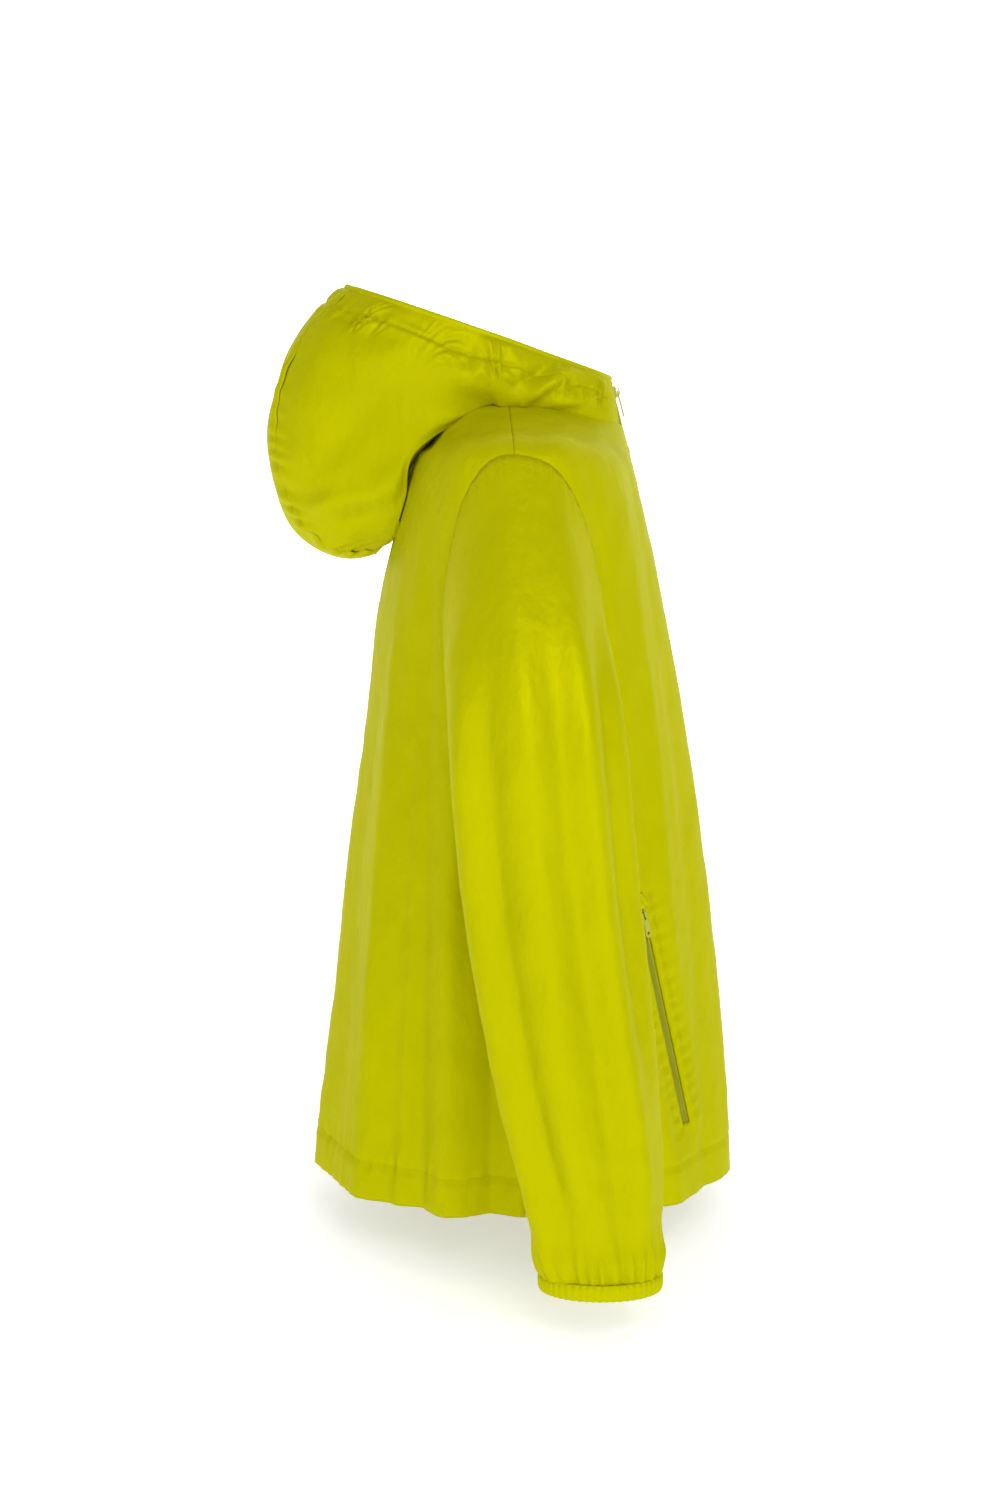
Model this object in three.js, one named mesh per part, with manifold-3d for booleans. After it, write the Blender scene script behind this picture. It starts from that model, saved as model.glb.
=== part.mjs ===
// Lightweight hooded shell jacket, built from the pieces it is cut and sewn from.
//
// Units are millimetres. +Z is up, the front faces -Y and the wearer's right is -X.
// The origin is the middle of the hanger loop, inside the back of the neck.
//
// The body is one smooth surface, torsoPoint(u, v). u goes round it in radians: 0 at the left side,
// PI / 2 at the back, PI at the right side and 3 PI / 2 at the front. v goes up it, from 0 at the hem
// to 1 at the neckline. Every body piece is a patch of that surface, thickened inwards.
import * as THREE from 'three';
import { mergeVertices } from 'three/addons/utils/BufferGeometryUtils.js';
import Module from 'manifold-3d';

const wasm = await Module();
wasm.setup();

const { lerp, clamp, degToRad } = THREE.MathUtils;
const RIGHT_SIDE = Math.PI;
const BACK = Math.PI / 2;
const FRONT = 3 * Math.PI / 2;

// ---- Driving dimensions -------------------------------------------------------------------------

const SEAM_GAP = 0.3;              // clearance between pieces that are sewn together
const CLOTH = 1.6;                 // wall of an outer panel
const FACING = 1.0;                // wall of an inner facing, tape or elastic

// Body
const HEM_HEIGHT = -652;           // lower edge of the hem, below the origin
const HEM_HALF_WIDTH = 203;
const HEM_BACK_DEPTH = 124;        // how far the back of the hem lies behind the origin
const ARMPIT_HEIGHT = -255;
const ARMPIT_HALF_WIDTH = 213;
const ARMPIT_BACK_DEPTH = 77;
const SHOULDER = new THREE.Vector3(228, -47, -39);    // left shoulder point, the right one is mirrored
const NECK_HALF_WIDTH = 74;
const NECK_BACK = new THREE.Vector3(0, 6, 6);
const NECK_FRONT_HEIGHT = -19;
const SIDE_DEPTH = -57;            // where the side seam lies, from back to front
const BODY_SQUARENESS = 2.3;       // 2 is an ellipse, more is squarer
const ARMHOLE_SPREAD = 0.5;        // half the armhole's width, in radians round the body

// Front closure, which follows an arc from the hem up to the top of the collar
const ZIP_TOP = new THREE.Vector2(-130, 20);          // y and z of the top end
const ZIP_BOTTOM_DEPTH = -238;     // y of the bottom end, at the hem
const ZIP_BULGE = 17;              // how far the arc stands proud of a straight line
const ZIP_OPENING = 5.5;           // half the gap between the front panels
const ZIP_TAPE_WIDTH = 12;
const ZIP_TAPE_SINK = 3.0;         // from the outside of the cloth to the tape behind it
const TEETH_WIDTH = 2.4;           // one side's row of teeth
const TEETH_HEIGHT = 3.2;
const TEETH_GAP = 0.8;             // from the middle line to the teeth, room for the slider's web
const SLIDER_LENGTH = 10;
const PULLER_LENGTH = 22;
const PULLER_WIDTH = 6;
const BOTTOM_BOX = 11;             // height of the retainer box at the foot of the zip

// Collar
const COLLAR_HEIGHT = 38;          // at the front
const COLLAR_BACK_HEIGHT = 7;
const NECK_TAPE_WIDTH = 10;

// Hem
const HEM_BAND = 31;               // depth of the turned hem
const HEM_ELASTIC_WIDTH = 20;

// Sleeve: centre of each ring of the right sleeve, its half sizes and how much its outer side is raised
const SLEEVE_RINGS = [
  { centre: [-280, -60, -232], acrossX: 56, acrossY: 65, raised: 38 },
  { centre: [-297, -72, -375], acrossX: 57, acrossY: 66, raised: 6 },
  { centre: [-314, -90, -500], acrossX: 52, acrossY: 61, raised: 0 },
  { centre: [-325, -104, -582], acrossX: 44, acrossY: 54, raised: 0 },
];
const CUFF = { centre: [-333, -112, -653], acrossX: 31, acrossY: 45, raised: 0 };
const CUFF_BINDING = 10;
const SLEEVE_LAP = 1.6;            // how far the sleeve head stands proud of the armhole edge

// Hand pockets: heights of the zip's ends, and how far round from the side seam they lie
const POCKET_TOP_HEIGHT = -402;
const POCKET_BOTTOM_HEIGHT = -590;
const POCKET_TOP_ROUND = 0.584;
const POCKET_BOTTOM_ROUND = 0.826;
const POCKET_SLOT = 12;            // width of the opening in the front panel
const POCKET_TAPE = 10;            // one side's tape
const POCKET_SINK = 2.2;           // how far the zip lies below the straight line between its ends

// Hood, folded down behind the neck. It is a fan about the hinge line through the sides of the neck.
const HOOD_HINGE = new THREE.Vector2(-43, 0);         // y and z
const HOOD_REACH = 211;            // from the hinge line to the fullest part of the hood
const HOOD_FULLEST = degToRad(-24);
const HOOD_RIM_DROP = 43;          // how much less the reach is at the rim
const HOOD_RIM_TURN = degToRad(59);
const HOOD_RIM_CURVE = 1.6;
const HOOD_FOOT_DROP = 40;         // how much less the reach is at the foot
const HOOD_FOOT_TURN = degToRad(24);
const HOOD_FOOT_CURVE = 3;
const UNDERSIDE_SLOPE = degToRad(-48.6);
const UNDERSIDE_RISE = degToRad(32);   // how much flatter the underside is near the hinge line
const UNDERSIDE_STRAIGHT = 190;    // beyond this radius the underside is straight
const UNDERSIDE_CURVE = 130;       // length over which it flattens
const HOOD_HALF_WIDTH = 106;
const HOOD_SQUARENESS = 2.6;
const HOOD_RIM_DISTANCE = 47.5;    // from the hinge line to the plane of the rim
const HOOD_RIM_SLOPE = degToRad(18.9);
const HOOD_INNER = 84;             // the moving panels start this far from the hinge line
const HOOD_CENTRE_HALF_WIDTH = 44;
const HOOD_SEWN_GAP = 0.6;
const HOOD_CHANNEL = 22;           // from the rim to the elastic in its channel
const BINDING_RADIUS = 1.5;

// ---- Materials ----------------------------------------------------------------------------------

const SHELL_LIGHT = 0xcfd211;
const SHELL_DEEP = 0xbcc000;
const TRIM_TONE = 0xc4c80a;
const NYLON_TONE = 0xb9bd10;
const ELASTIC_TONE = 0xd6d79a;
const METAL_TONE = 0xbfc22a;

const parts = new THREE.Group();

function addMesh(name, geometry, colour, roughness = 0.5, parent = parts, metalness = 0) {
  const material = new THREE.MeshStandardMaterial({ color: colour, roughness, metalness });
  const mesh = new THREE.Mesh(geometry, material);
  mesh.name = name;
  parent.add(mesh);
  return mesh;
}

// ---- Making and bending solids ------------------------------------------------------------------

// Merges the corners that meet, and turns the faces out if they point in.
function closedSolid(geometry) {
  geometry.deleteAttribute('normal');
  geometry.deleteAttribute('uv');
  const merged = mergeVertices(geometry, 1e-3);
  const position = merged.getAttribute('position');
  const corners = merged.getIndex().array;
  let volume = 0;
  const a = new THREE.Vector3();
  const b = new THREE.Vector3();
  const c = new THREE.Vector3();
  for (let i = 0; i < corners.length; i += 3) {
    a.fromBufferAttribute(position, corners[i]);
    b.fromBufferAttribute(position, corners[i + 1]);
    c.fromBufferAttribute(position, corners[i + 2]);
    volume += a.dot(b.cross(c));
  }
  if (volume < 0) {
    for (let i = 0; i < corners.length; i += 3) {
      [corners[i], corners[i + 1]] = [corners[i + 1], corners[i]];
    }
  }
  return merged;
}

// A sheet: place(s, t, w) gives the corner at s across, t along and w through the wall, each 0 to 1.
function sheetSolid(place, across, along) {
  const geometry = new THREE.BoxGeometry(1, 1, 1, across, along, 1);
  const position = geometry.getAttribute('position');
  for (let i = 0; i < position.count; i += 1) {
    const corner = place(position.getX(i) + 0.5, position.getY(i) + 0.5, position.getZ(i) + 0.5);
    position.setXYZ(i, corner.x, corner.y, corner.z);
  }
  return closedSolid(geometry);
}

// A tube: place(s, t, w) as above, where s goes once round and the ends meet.
function tubeSolid(place, around, along) {
  const profile = [];
  for (let j = 0; j <= along; j += 1) profile.push([j / along, 1]);
  for (let j = along; j >= 0; j -= 1) profile.push([j / along, 0]);
  profile.push(profile[0]);
  const outline = profile.map(([t, w]) => new THREE.Vector2(1 + w, t));
  const geometry = new THREE.LatheGeometry(outline, around);
  const position = geometry.getAttribute('position');
  for (let i = 0; i < position.count; i += 1) {
    const [t, w] = profile[i % profile.length];
    const step = Math.floor(i / profile.length) % around;
    const corner = place(step / around, t, w);
    position.setXYZ(i, corner.x, corner.y, corner.z);
  }
  return closedSolid(geometry);
}

// The point of a surface at (u, v), moved by depth towards the side where the point inside is.
const SLOPE_STEP = 0.004;
function sunk(surface, u, v, depth, inside) {
  const step = SLOPE_STEP;
  const alongU = surface(u + step, v).sub(surface(u - step, v));
  const alongV = surface(u, v + step).sub(surface(u, v - step));
  const normal = alongU.cross(alongV).normalize();
  const point = surface(u, v);
  const inwards = inside.clone().sub(point);
  if (normal.dot(inwards) < 0) normal.negate();
  return point.addScaledVector(normal, depth);
}

function toManifold(geometry) {
  const solid = closedSolid(geometry.clone());
  return new wasm.Manifold(new wasm.Mesh({
    numProp: 3,
    vertProperties: new Float32Array(solid.getAttribute('position').array),
    triVerts: new Uint32Array(solid.getIndex().array),
  }));
}

function fromManifold(solid) {
  const mesh = solid.getMesh();
  const geometry = new THREE.BufferGeometry();
  geometry.setAttribute('position', new THREE.BufferAttribute(mesh.vertProperties, 3));
  geometry.setIndex(new THREE.BufferAttribute(mesh.triVerts, 1));
  return geometry;
}

function mirrored(geometry) {
  return closedSolid(geometry.clone().applyMatrix4(new THREE.Matrix4().makeScale(-1, 1, 1)));
}

function addPair(name, geometry, colour, roughness, metalness) {
  addMesh(`${name}_right`, geometry, colour, roughness, parts, metalness);
  addMesh(`${name}_left`, mirrored(geometry), colour, roughness, parts, metalness);
}

// ---- The front arc ------------------------------------------------------------------------------

const zipBottom = new THREE.Vector2(ZIP_BOTTOM_DEPTH, HEM_HEIGHT);
const zipChord = ZIP_TOP.distanceTo(zipBottom);
const ARC_RADIUS = (zipChord ** 2 / 4 + ZIP_BULGE ** 2) / (2 * ZIP_BULGE);
const chordMiddle = ZIP_TOP.clone().add(zipBottom).multiplyScalar(0.5);
const chordDirection = ZIP_TOP.clone().sub(zipBottom).normalize();
const ARC_CENTRE = new THREE.Vector2(chordDirection.y, -chordDirection.x)
  .multiplyScalar(ARC_RADIUS - ZIP_BULGE).add(chordMiddle);
const ARC_TOP_ANGLE = Math.atan2(ZIP_TOP.y - ARC_CENTRE.y, ARC_CENTRE.x - ZIP_TOP.x);

// Depth of the arc at a height.
function arcDepth(height) {
  return ARC_CENTRE.x - Math.sqrt(ARC_RADIUS ** 2 - (height - ARC_CENTRE.y) ** 2);
}

// A point a distance down the arc from its top, across to the side and proud of the cloth.
function onArc(across, down, proud) {
  const angle = ARC_TOP_ANGLE - down / ARC_RADIUS;
  const radius = ARC_RADIUS + proud;
  return new THREE.Vector3(
    across,
    ARC_CENTRE.x - radius * Math.cos(angle),
    ARC_CENTRE.y + radius * Math.sin(angle),
  );
}

const ARC_LENGTH = 2 * Math.asin(zipChord / (2 * ARC_RADIUS)) * ARC_RADIUS;

// ---- The body surface ---------------------------------------------------------------------------

const STATIONS = 7;                 // spaces between the rows that define the body
const ARMPIT_ROW = 3 / STATIONS;
const SHOULDER_ROW = 5 / STATIONS;

function loweredBy(share, atHem, atArmpit) {
  return lerp(atArmpit, atHem, share);
}

const lowerRows = [1, 2 / 3, 1 / 3, 0].map((share) => ({
  side: new THREE.Vector3(
    loweredBy(share, HEM_HALF_WIDTH, ARMPIT_HALF_WIDTH),
    SIDE_DEPTH,
    loweredBy(share, HEM_HEIGHT, ARMPIT_HEIGHT),
  ),
  back: new THREE.Vector3(
    0,
    loweredBy(share, HEM_BACK_DEPTH, ARMPIT_BACK_DEPTH),
    loweredBy(share, HEM_HEIGHT, ARMPIT_HEIGHT),
  ),
  front: loweredBy(share, HEM_HEIGHT, ARMPIT_HEIGHT),
}));

// Rows above the armpit: across the chest, at the shoulders, halfway up the neck and at the neckline.
const CHEST_SIDE_SHARE = 0.49;      // how far up the armhole the chest row lies, at the side
const CHEST_BACK_SHARE = 0.47;
const CHEST_FRONT_SHARE = 0.45;
const CHEST_BACK_DEPTH = 64;
const CHEST_NARROWING = new THREE.Vector3(-5, -8, 0);
const SHOULDER_BACK = new THREE.Vector3(0, 39, SHOULDER.z - 20);
const SHOULDER_FRONT_HEIGHT = SHOULDER.z - 22;
const NAPE_SIDE = new THREE.Vector3(lerp(SHOULDER.x, NECK_HALF_WIDTH, 0.5), -45, SHOULDER.z / 2);
const NAPE_BACK = new THREE.Vector3(0, 26, -32);
const NAPE_FRONT_HEIGHT = -38;
const NECK_SIDE_HEIGHT = 2;

const chestSide = SHOULDER.clone().add(CHEST_NARROWING);
chestSide.z = lerp(ARMPIT_HEIGHT, SHOULDER.z, CHEST_SIDE_SHARE);
const upperRows = [
  {
    side: chestSide,
    back: new THREE.Vector3(0, CHEST_BACK_DEPTH, lerp(ARMPIT_HEIGHT, SHOULDER.z, CHEST_BACK_SHARE)),
    front: lerp(ARMPIT_HEIGHT, SHOULDER.z, CHEST_FRONT_SHARE),
  },
  {
    side: SHOULDER,
    back: SHOULDER_BACK,
    front: SHOULDER_FRONT_HEIGHT,
  },
  {
    side: NAPE_SIDE,
    back: NAPE_BACK,
    front: NAPE_FRONT_HEIGHT,
  },
  {
    side: new THREE.Vector3(NECK_HALF_WIDTH, HOOD_HINGE.x, NECK_SIDE_HEIGHT),
    back: NECK_BACK,
    front: NECK_FRONT_HEIGHT,
  },
];

const bodyRows = [...lowerRows, ...upperRows];
const smoothLine = (points) => new THREE.CatmullRomCurve3(points, false, 'catmullrom', 0.5);
const SIDE_LINE = smoothLine(bodyRows.map((row) => row.side));
const BACK_LINE = smoothLine(bodyRows.map((row) => row.back));
const FRONT_LINE = smoothLine(bodyRows.map(({ front }) => new THREE.Vector3(0, arcDepth(front), front)));

function frontMiddle(v) {
  const point = FRONT_LINE.getPoint(v);
  point.y = arcDepth(point.z);
  return point;
}

function torsoPoint(u, v) {
  const row = clamp(v, 0, 1);
  const side = SIDE_LINE.getPoint(row);
  const middle = Math.sin(u) > 0 ? BACK_LINE.getPoint(row) : frontMiddle(row);
  const round = 2 / BODY_SQUARENESS;
  const across = Math.sign(Math.cos(u)) * Math.abs(Math.cos(u)) ** round;
  const towards = Math.abs(Math.sin(u)) ** round;
  return new THREE.Vector3(
    side.x * across,
    lerp(side.y, middle.y, towards),
    lerp(side.z, middle.z, towards ** 2),
  );
}

function torsoSunk(u, v, depth) {
  const side = SIDE_LINE.getPoint(clamp(v, 0, 1));
  const inside = new THREE.Vector3(0, side.y, side.z - 60 * v ** 4);
  return sunk(torsoPoint, u, v, depth, inside);
}

// The row of the body at a height between the hem and the armpit.
function rowAtHeight(height) {
  return ARMPIT_ROW * (height - HEM_HEIGHT) / (ARMPIT_HEIGHT - HEM_HEIGHT);
}

// How far round from the side seam the armhole edge lies in a row. It is an ellipse in u and v.
function armholeSpread(v) {
  const middle = (ARMPIT_ROW + SHOULDER_ROW) / 2;
  const half = (SHOULDER_ROW - ARMPIT_ROW) / 2;
  const share = clamp((v - middle) / half, -1, 1);
  return ARMHOLE_SPREAD * Math.sqrt(1 - share ** 2);
}

// Rows are close together round the armhole, so that its edge is smooth.
const ROWS_BELOW = 7;
const ROWS_ARMHOLE = 10;
const ROWS_ABOVE = 4;
const ROWS = ROWS_BELOW + ROWS_ARMHOLE + ROWS_ABOVE;

function rowOfPanel(t) {
  const step = t * ROWS;
  if (step <= ROWS_BELOW) return ARMPIT_ROW * step / ROWS_BELOW;
  if (step <= ROWS_BELOW + ROWS_ARMHOLE) {
    const turn = Math.PI * (step - ROWS_BELOW) / ROWS_ARMHOLE;
    return lerp(ARMPIT_ROW, SHOULDER_ROW, (1 - Math.cos(turn)) / 2);
  }
  return lerp(SHOULDER_ROW, 1, (step - ROWS_BELOW - ROWS_ARMHOLE) / ROWS_ABOVE);
}

// ---- Body panels --------------------------------------------------------------------------------

const SEAM_ANGLE = 0.0008;          // keeps the panels about SEAM_GAP apart at the side seams

// Turns round the body from the front middle line to an edge a distance from it.
function roundFromFront(distance, v) {
  const side = SIDE_LINE.getPoint(clamp(v, 0, 1)).x;
  return Math.asin(clamp(distance / side, 0, 1) ** (BODY_SQUARENESS / 2));
}

const BACK_COLUMNS = 18;
const FRONT_COLUMNS = 11;

// Angle round the body of a share of the back or front panel's width, in a row.
function roundOfBack(share, v) {
  const edge = armholeSpread(v) + SEAM_ANGLE;
  return lerp(edge, Math.PI - edge, share);
}

function roundOfFront(share, v) {
  const edge = armholeSpread(v) + SEAM_ANGLE;
  return lerp(RIGHT_SIDE + edge, FRONT - roundFromFront(ZIP_OPENING, v), share);
}

const backPanel = sheetSolid((s, t, w) => {
  const v = rowOfPanel(t);
  return torsoSunk(roundOfBack(s, v), v, CLOTH * (1 - w));
}, BACK_COLUMNS, ROWS);
addMesh('back_panel', backPanel, SHELL_DEEP);

const frontPanel = sheetSolid((s, t, w) => {
  const v = rowOfPanel(t);
  return torsoSunk(roundOfFront(s, v), v, CLOTH * (1 - w));
}, FRONT_COLUMNS, ROWS);

// ---- Hand pockets -------------------------------------------------------------------------------

const pocketTop = torsoPoint(RIGHT_SIDE + POCKET_TOP_ROUND, rowAtHeight(POCKET_TOP_HEIGHT));
const pocketBottom = torsoPoint(RIGHT_SIDE + POCKET_BOTTOM_ROUND, rowAtHeight(POCKET_BOTTOM_HEIGHT));
const pocketMiddle = pocketTop.clone().add(pocketBottom).multiplyScalar(0.5);
const POCKET_LENGTH = pocketTop.distanceTo(pocketBottom);
const pocketMiddleRound = (POCKET_TOP_ROUND + POCKET_BOTTOM_ROUND) / 2;
const pocketMiddleRow = rowAtHeight((POCKET_TOP_HEIGHT + POCKET_BOTTOM_HEIGHT) / 2);

// The pocket's own axes: y up the zip, z out of the cloth and x across the zip.
const pocketUp = pocketTop.clone().sub(pocketBottom).normalize();
const surfaceMiddle = torsoPoint(RIGHT_SIDE + pocketMiddleRound, pocketMiddleRow);
const surfaceInside = torsoSunk(RIGHT_SIDE + pocketMiddleRound, pocketMiddleRow, 1);
const pocketOut = surfaceMiddle.clone().sub(surfaceInside);
pocketOut.addScaledVector(pocketUp, -pocketOut.dot(pocketUp)).normalize();
const pocketAcross = pocketUp.clone().cross(pocketOut);
const pocketBase = pocketMiddle.clone().addScaledVector(pocketOut, -POCKET_SINK);
const pocketFrame = new THREE.Matrix4().makeBasis(pocketAcross, pocketUp, pocketOut);
pocketFrame.setPosition(pocketBase);

const slotCutter = new THREE.BoxGeometry(POCKET_SLOT, POCKET_LENGTH, 40).applyMatrix4(pocketFrame);
const slottedPanel = fromManifold(toManifold(frontPanel).subtract(toManifold(slotCutter)));
addPair('front_panel', slottedPanel, SHELL_LIGHT);

// A straight bar whose section is a polygon across and out of the cloth, from low to high up the zip.
function sectionBar(corners, low, high) {
  const shape = new THREE.Shape(corners.map(([x, y]) => new THREE.Vector2(x, y)));
  const geometry = new THREE.ExtrudeGeometry(shape, { depth: high - low, bevelEnabled: false });
  geometry.rotateX(Math.PI / 2).translate(0, high, 0);
  return geometry;
}

// The closed zip's halves: a tape with the coil sewn along its edge.
const COIL_WIDTH = 2.0;
const COIL_HEIGHT = 1.9;
const COIL_GAP = 0.6;
const tapeTop = -(CLOTH + SEAM_GAP);
function zipHalf(side) {
  const outer = side * (COIL_GAP + POCKET_TAPE);
  const inner = side * COIL_GAP;
  const coil = side * (COIL_GAP + COIL_WIDTH);
  return sectionBar([
    [inner, tapeTop - FACING],
    [outer, tapeTop - FACING],
    [outer, tapeTop],
    [coil, tapeTop],
    [coil, tapeTop + COIL_HEIGHT],
    [inner, tapeTop + COIL_HEIGHT],
  ], -POCKET_LENGTH / 2 - 4, POCKET_LENGTH / 2 + 4);
}

// A slider's section: a front plate with lips, a web between the two rows, and a back plate.
function sliderSection(row) {
  const lip = row.halfWidth;
  const lipInner = lip - row.wall;
  const web = row.webHalf;
  return [
    [-lip, row.top], [-lip, row.lipFoot], [-lipInner, row.lipFoot], [-lipInner, row.underside],
    [-web, row.underside], [-web, row.backTop], [-lipInner, row.backTop], [-lipInner, row.bottom],
    [lipInner, row.bottom], [lipInner, row.backTop], [web, row.backTop], [web, row.underside],
    [lipInner, row.underside], [lipInner, row.lipFoot], [lip, row.lipFoot], [lip, row.top],
  ];
}

// The arch on the front plate that the puller hangs from.
const ARCH_WIDTH = 1.6;
const ARCH_WALL = 0.9;
const ARCH_HOLE = 2.1;
const ARCH_BAR = 1.15;              // from the front plate to the middle of the puller's bar
const ARCH_REACH = 3.4;
function arch(base) {
  const shape = new THREE.Shape();
  const outerTop = ARCH_HOLE + ARCH_WALL;
  shape.moveTo(-ARCH_REACH, -0.2);
  shape.lineTo(-ARCH_REACH, outerTop - 1);
  shape.lineTo(-ARCH_REACH + 1, outerTop);
  shape.lineTo(ARCH_REACH - 1, outerTop);
  shape.lineTo(ARCH_REACH, outerTop - 1);
  shape.lineTo(ARCH_REACH, -0.2);
  shape.lineTo(ARCH_REACH - ARCH_WALL, -0.2);
  shape.lineTo(ARCH_REACH - ARCH_WALL, ARCH_HOLE);
  shape.lineTo(-ARCH_REACH + ARCH_WALL, ARCH_HOLE);
  shape.lineTo(-ARCH_REACH + ARCH_WALL, -0.2);
  const geometry = new THREE.ExtrudeGeometry(shape, { depth: ARCH_WIDTH, bevelEnabled: false });
  geometry.translate(0, 0, -ARCH_WIDTH / 2);
  geometry.applyMatrix4(new THREE.Matrix4().makeBasis(
    new THREE.Vector3(0, 1, 0),
    new THREE.Vector3(0, 0, 1),
    new THREE.Vector3(1, 0, 0),
  ));
  geometry.translate(0, 0, base);
  return geometry;
}

function sliderBody(row, length) {
  const plates = toManifold(sectionBar(sliderSection(row), -length / 2, length / 2));
  return fromManifold(plates.add(toManifold(arch(row.top))));
}

// A puller hangs from a bar at its own origin, along -y, flat in the xy plane.
const PULLER_WALL = 1.2;
const BAR_HALF = 0.6;
const SLOT_END = 5.2;               // far end of the slot that the arch passes through
function puller(length, width, holeRadius) {
  const half = width / 2;
  const shape = new THREE.Shape();
  shape.moveTo(-half, BAR_HALF);
  shape.lineTo(-half * 0.8, -length * 0.6);
  shape.lineTo(-half, -length + half);
  shape.absarc(0, -length + half, half, Math.PI, 2 * Math.PI, false);
  shape.lineTo(half * 0.8, -length * 0.6);
  shape.lineTo(half, BAR_HALF);
  const slot = new THREE.Path();
  const slotHalf = ARCH_WIDTH / 2 + 0.5;
  slot.moveTo(-slotHalf, -BAR_HALF);
  slot.lineTo(slotHalf, -BAR_HALF);
  slot.lineTo(slotHalf, -SLOT_END);
  slot.lineTo(-slotHalf, -SLOT_END);
  const eye = new THREE.Path();
  eye.absarc(0, -length + half + holeRadius * 0.3, holeRadius, 0, 2 * Math.PI, true);
  shape.holes.push(slot, eye);
  const options = { depth: PULLER_WALL, bevelEnabled: false, curveSegments: 6 };
  return new THREE.ExtrudeGeometry(shape, options).translate(0, 0, -PULLER_WALL / 2);
}

const coilTop = tapeTop + COIL_HEIGHT;
const pocketSliderRow = {
  halfWidth: COIL_GAP + COIL_WIDTH + 1.4,
  wall: 0.9,
  webHalf: COIL_GAP - SEAM_GAP,
  top: coilTop + 1.3,
  underside: coilTop + SEAM_GAP,
  lipFoot: coilTop - 1.2,
  backTop: tapeTop - FACING - SEAM_GAP,
  bottom: tapeTop - FACING - SEAM_GAP - 0.8,
};
const POCKET_SLIDER_LENGTH = 9;
const POCKET_PULLER_LENGTH = 21;
const sliderRest = POCKET_LENGTH / 2 - POCKET_SLIDER_LENGTH / 2 - 1;
const pocketBar = pocketSliderRow.top + ARCH_BAR;

const pocketSlider = sliderBody(pocketSliderRow, POCKET_SLIDER_LENGTH).translate(0, sliderRest, 0);
const pocketPuller = puller(POCKET_PULLER_LENGTH, 6.5, 1.6).translate(0, sliderRest, pocketBar);

// Flap of cloth over the top end of the zip.
const GARAGE_HEIGHT = 12;
const garageOut = POCKET_SINK + SEAM_GAP + 0.5 + CLOTH / 2;
const garage = new THREE.BoxGeometry(POCKET_SLOT + 4, GARAGE_HEIGHT, CLOTH)
  .translate(0, POCKET_LENGTH / 2 + GARAGE_HEIGHT / 2 + 1, garageOut);

function inPocketFrame(geometry) {
  return closedSolid(geometry.clone().applyMatrix4(pocketFrame));
}

addPair('pocket_zip_front_half', inPocketFrame(zipHalf(1)), TRIM_TONE, 0.6);
addPair('pocket_zip_back_half', inPocketFrame(zipHalf(-1)), TRIM_TONE, 0.6);
addPair('pocket_slider', inPocketFrame(pocketSlider), METAL_TONE, 0.4, 0.6);
addPair('pocket_puller', inPocketFrame(pocketPuller), METAL_TONE, 0.4, 0.6);
addPair('pocket_zip_garage', inPocketFrame(garage), SHELL_LIGHT);

// The bag hangs inside the front panel, from the zip towards the front middle.
const BAG_DEPTH_IN = 6.5;
const BAG_THICKNESS = 2;
const BAG_EDGE_ROUND = 0.036;       // the bag is sewn to the zip's tape, clear of the slider's path
const BAG_FRONT_ROUND = 0.16;       // from the bag's front edge to the front middle line
const BAG_ABOVE_HEM = 8;
const BAG_ABOVE_ZIP = 14;
const pocketBag = sheetSolid((s, t, w) => {
  const height = lerp(HEM_HEIGHT + HEM_BAND + BAG_ABOVE_HEM, POCKET_TOP_HEIGHT + BAG_ABOVE_ZIP, t);
  const share = (height - POCKET_BOTTOM_HEIGHT) / (POCKET_TOP_HEIGHT - POCKET_BOTTOM_HEIGHT);
  const zipEdge = lerp(POCKET_BOTTOM_ROUND, POCKET_TOP_ROUND, clamp(share, 0, 1)) + BAG_EDGE_ROUND;
  const u = lerp(RIGHT_SIDE + zipEdge, FRONT - BAG_FRONT_ROUND, s);
  return torsoSunk(u, rowAtHeight(height), BAG_DEPTH_IN + BAG_THICKNESS * (1 - w));
}, 6, 8);
addPair('pocket_bag', pocketBag, SHELL_LIGHT, 0.6);

// ---- Hem ----------------------------------------------------------------------------------------

// A strip inside the hem, on some of a panel's columns, between two heights above the hem edge.
function hemStrip(roundOf, columns, first, last, depth, wall, low, high) {
  return sheetSolid((s, t, w) => {
    const v = rowAtHeight(HEM_HEIGHT + lerp(low, high, t));
    const share = lerp(first, last, s) / columns;
    return torsoSunk(roundOf(share, v), v, depth + wall * (1 - w));
  }, last - first, 2);
}

const underCloth = CLOTH + SEAM_GAP;
const underElastic = underCloth + FACING + SEAM_GAP;
const elasticLow = (HEM_BAND - HEM_ELASTIC_WIDTH) / 2;
const elasticHigh = elasticLow + HEM_ELASTIC_WIDTH;
const acrossBack = [roundOfBack, BACK_COLUMNS, 0, BACK_COLUMNS];
const acrossFront = [roundOfFront, FRONT_COLUMNS, 0, FRONT_COLUMNS - 1];
const hemElastic = hemStrip(...acrossBack, underCloth, FACING, elasticLow, elasticHigh);
const backFacing = hemStrip(...acrossBack, underElastic, FACING, 1, HEM_BAND);
const frontFacing = hemStrip(...acrossFront, underCloth, FACING, 1, HEM_BAND);
addMesh('hem_elastic', hemElastic, ELASTIC_TONE, 0.8);
addMesh('hem_facing_back', backFacing, SHELL_DEEP);
addPair('hem_facing', frontFacing, SHELL_LIGHT, 0.5);

// ---- Front zip ----------------------------------------------------------------------------------

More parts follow.
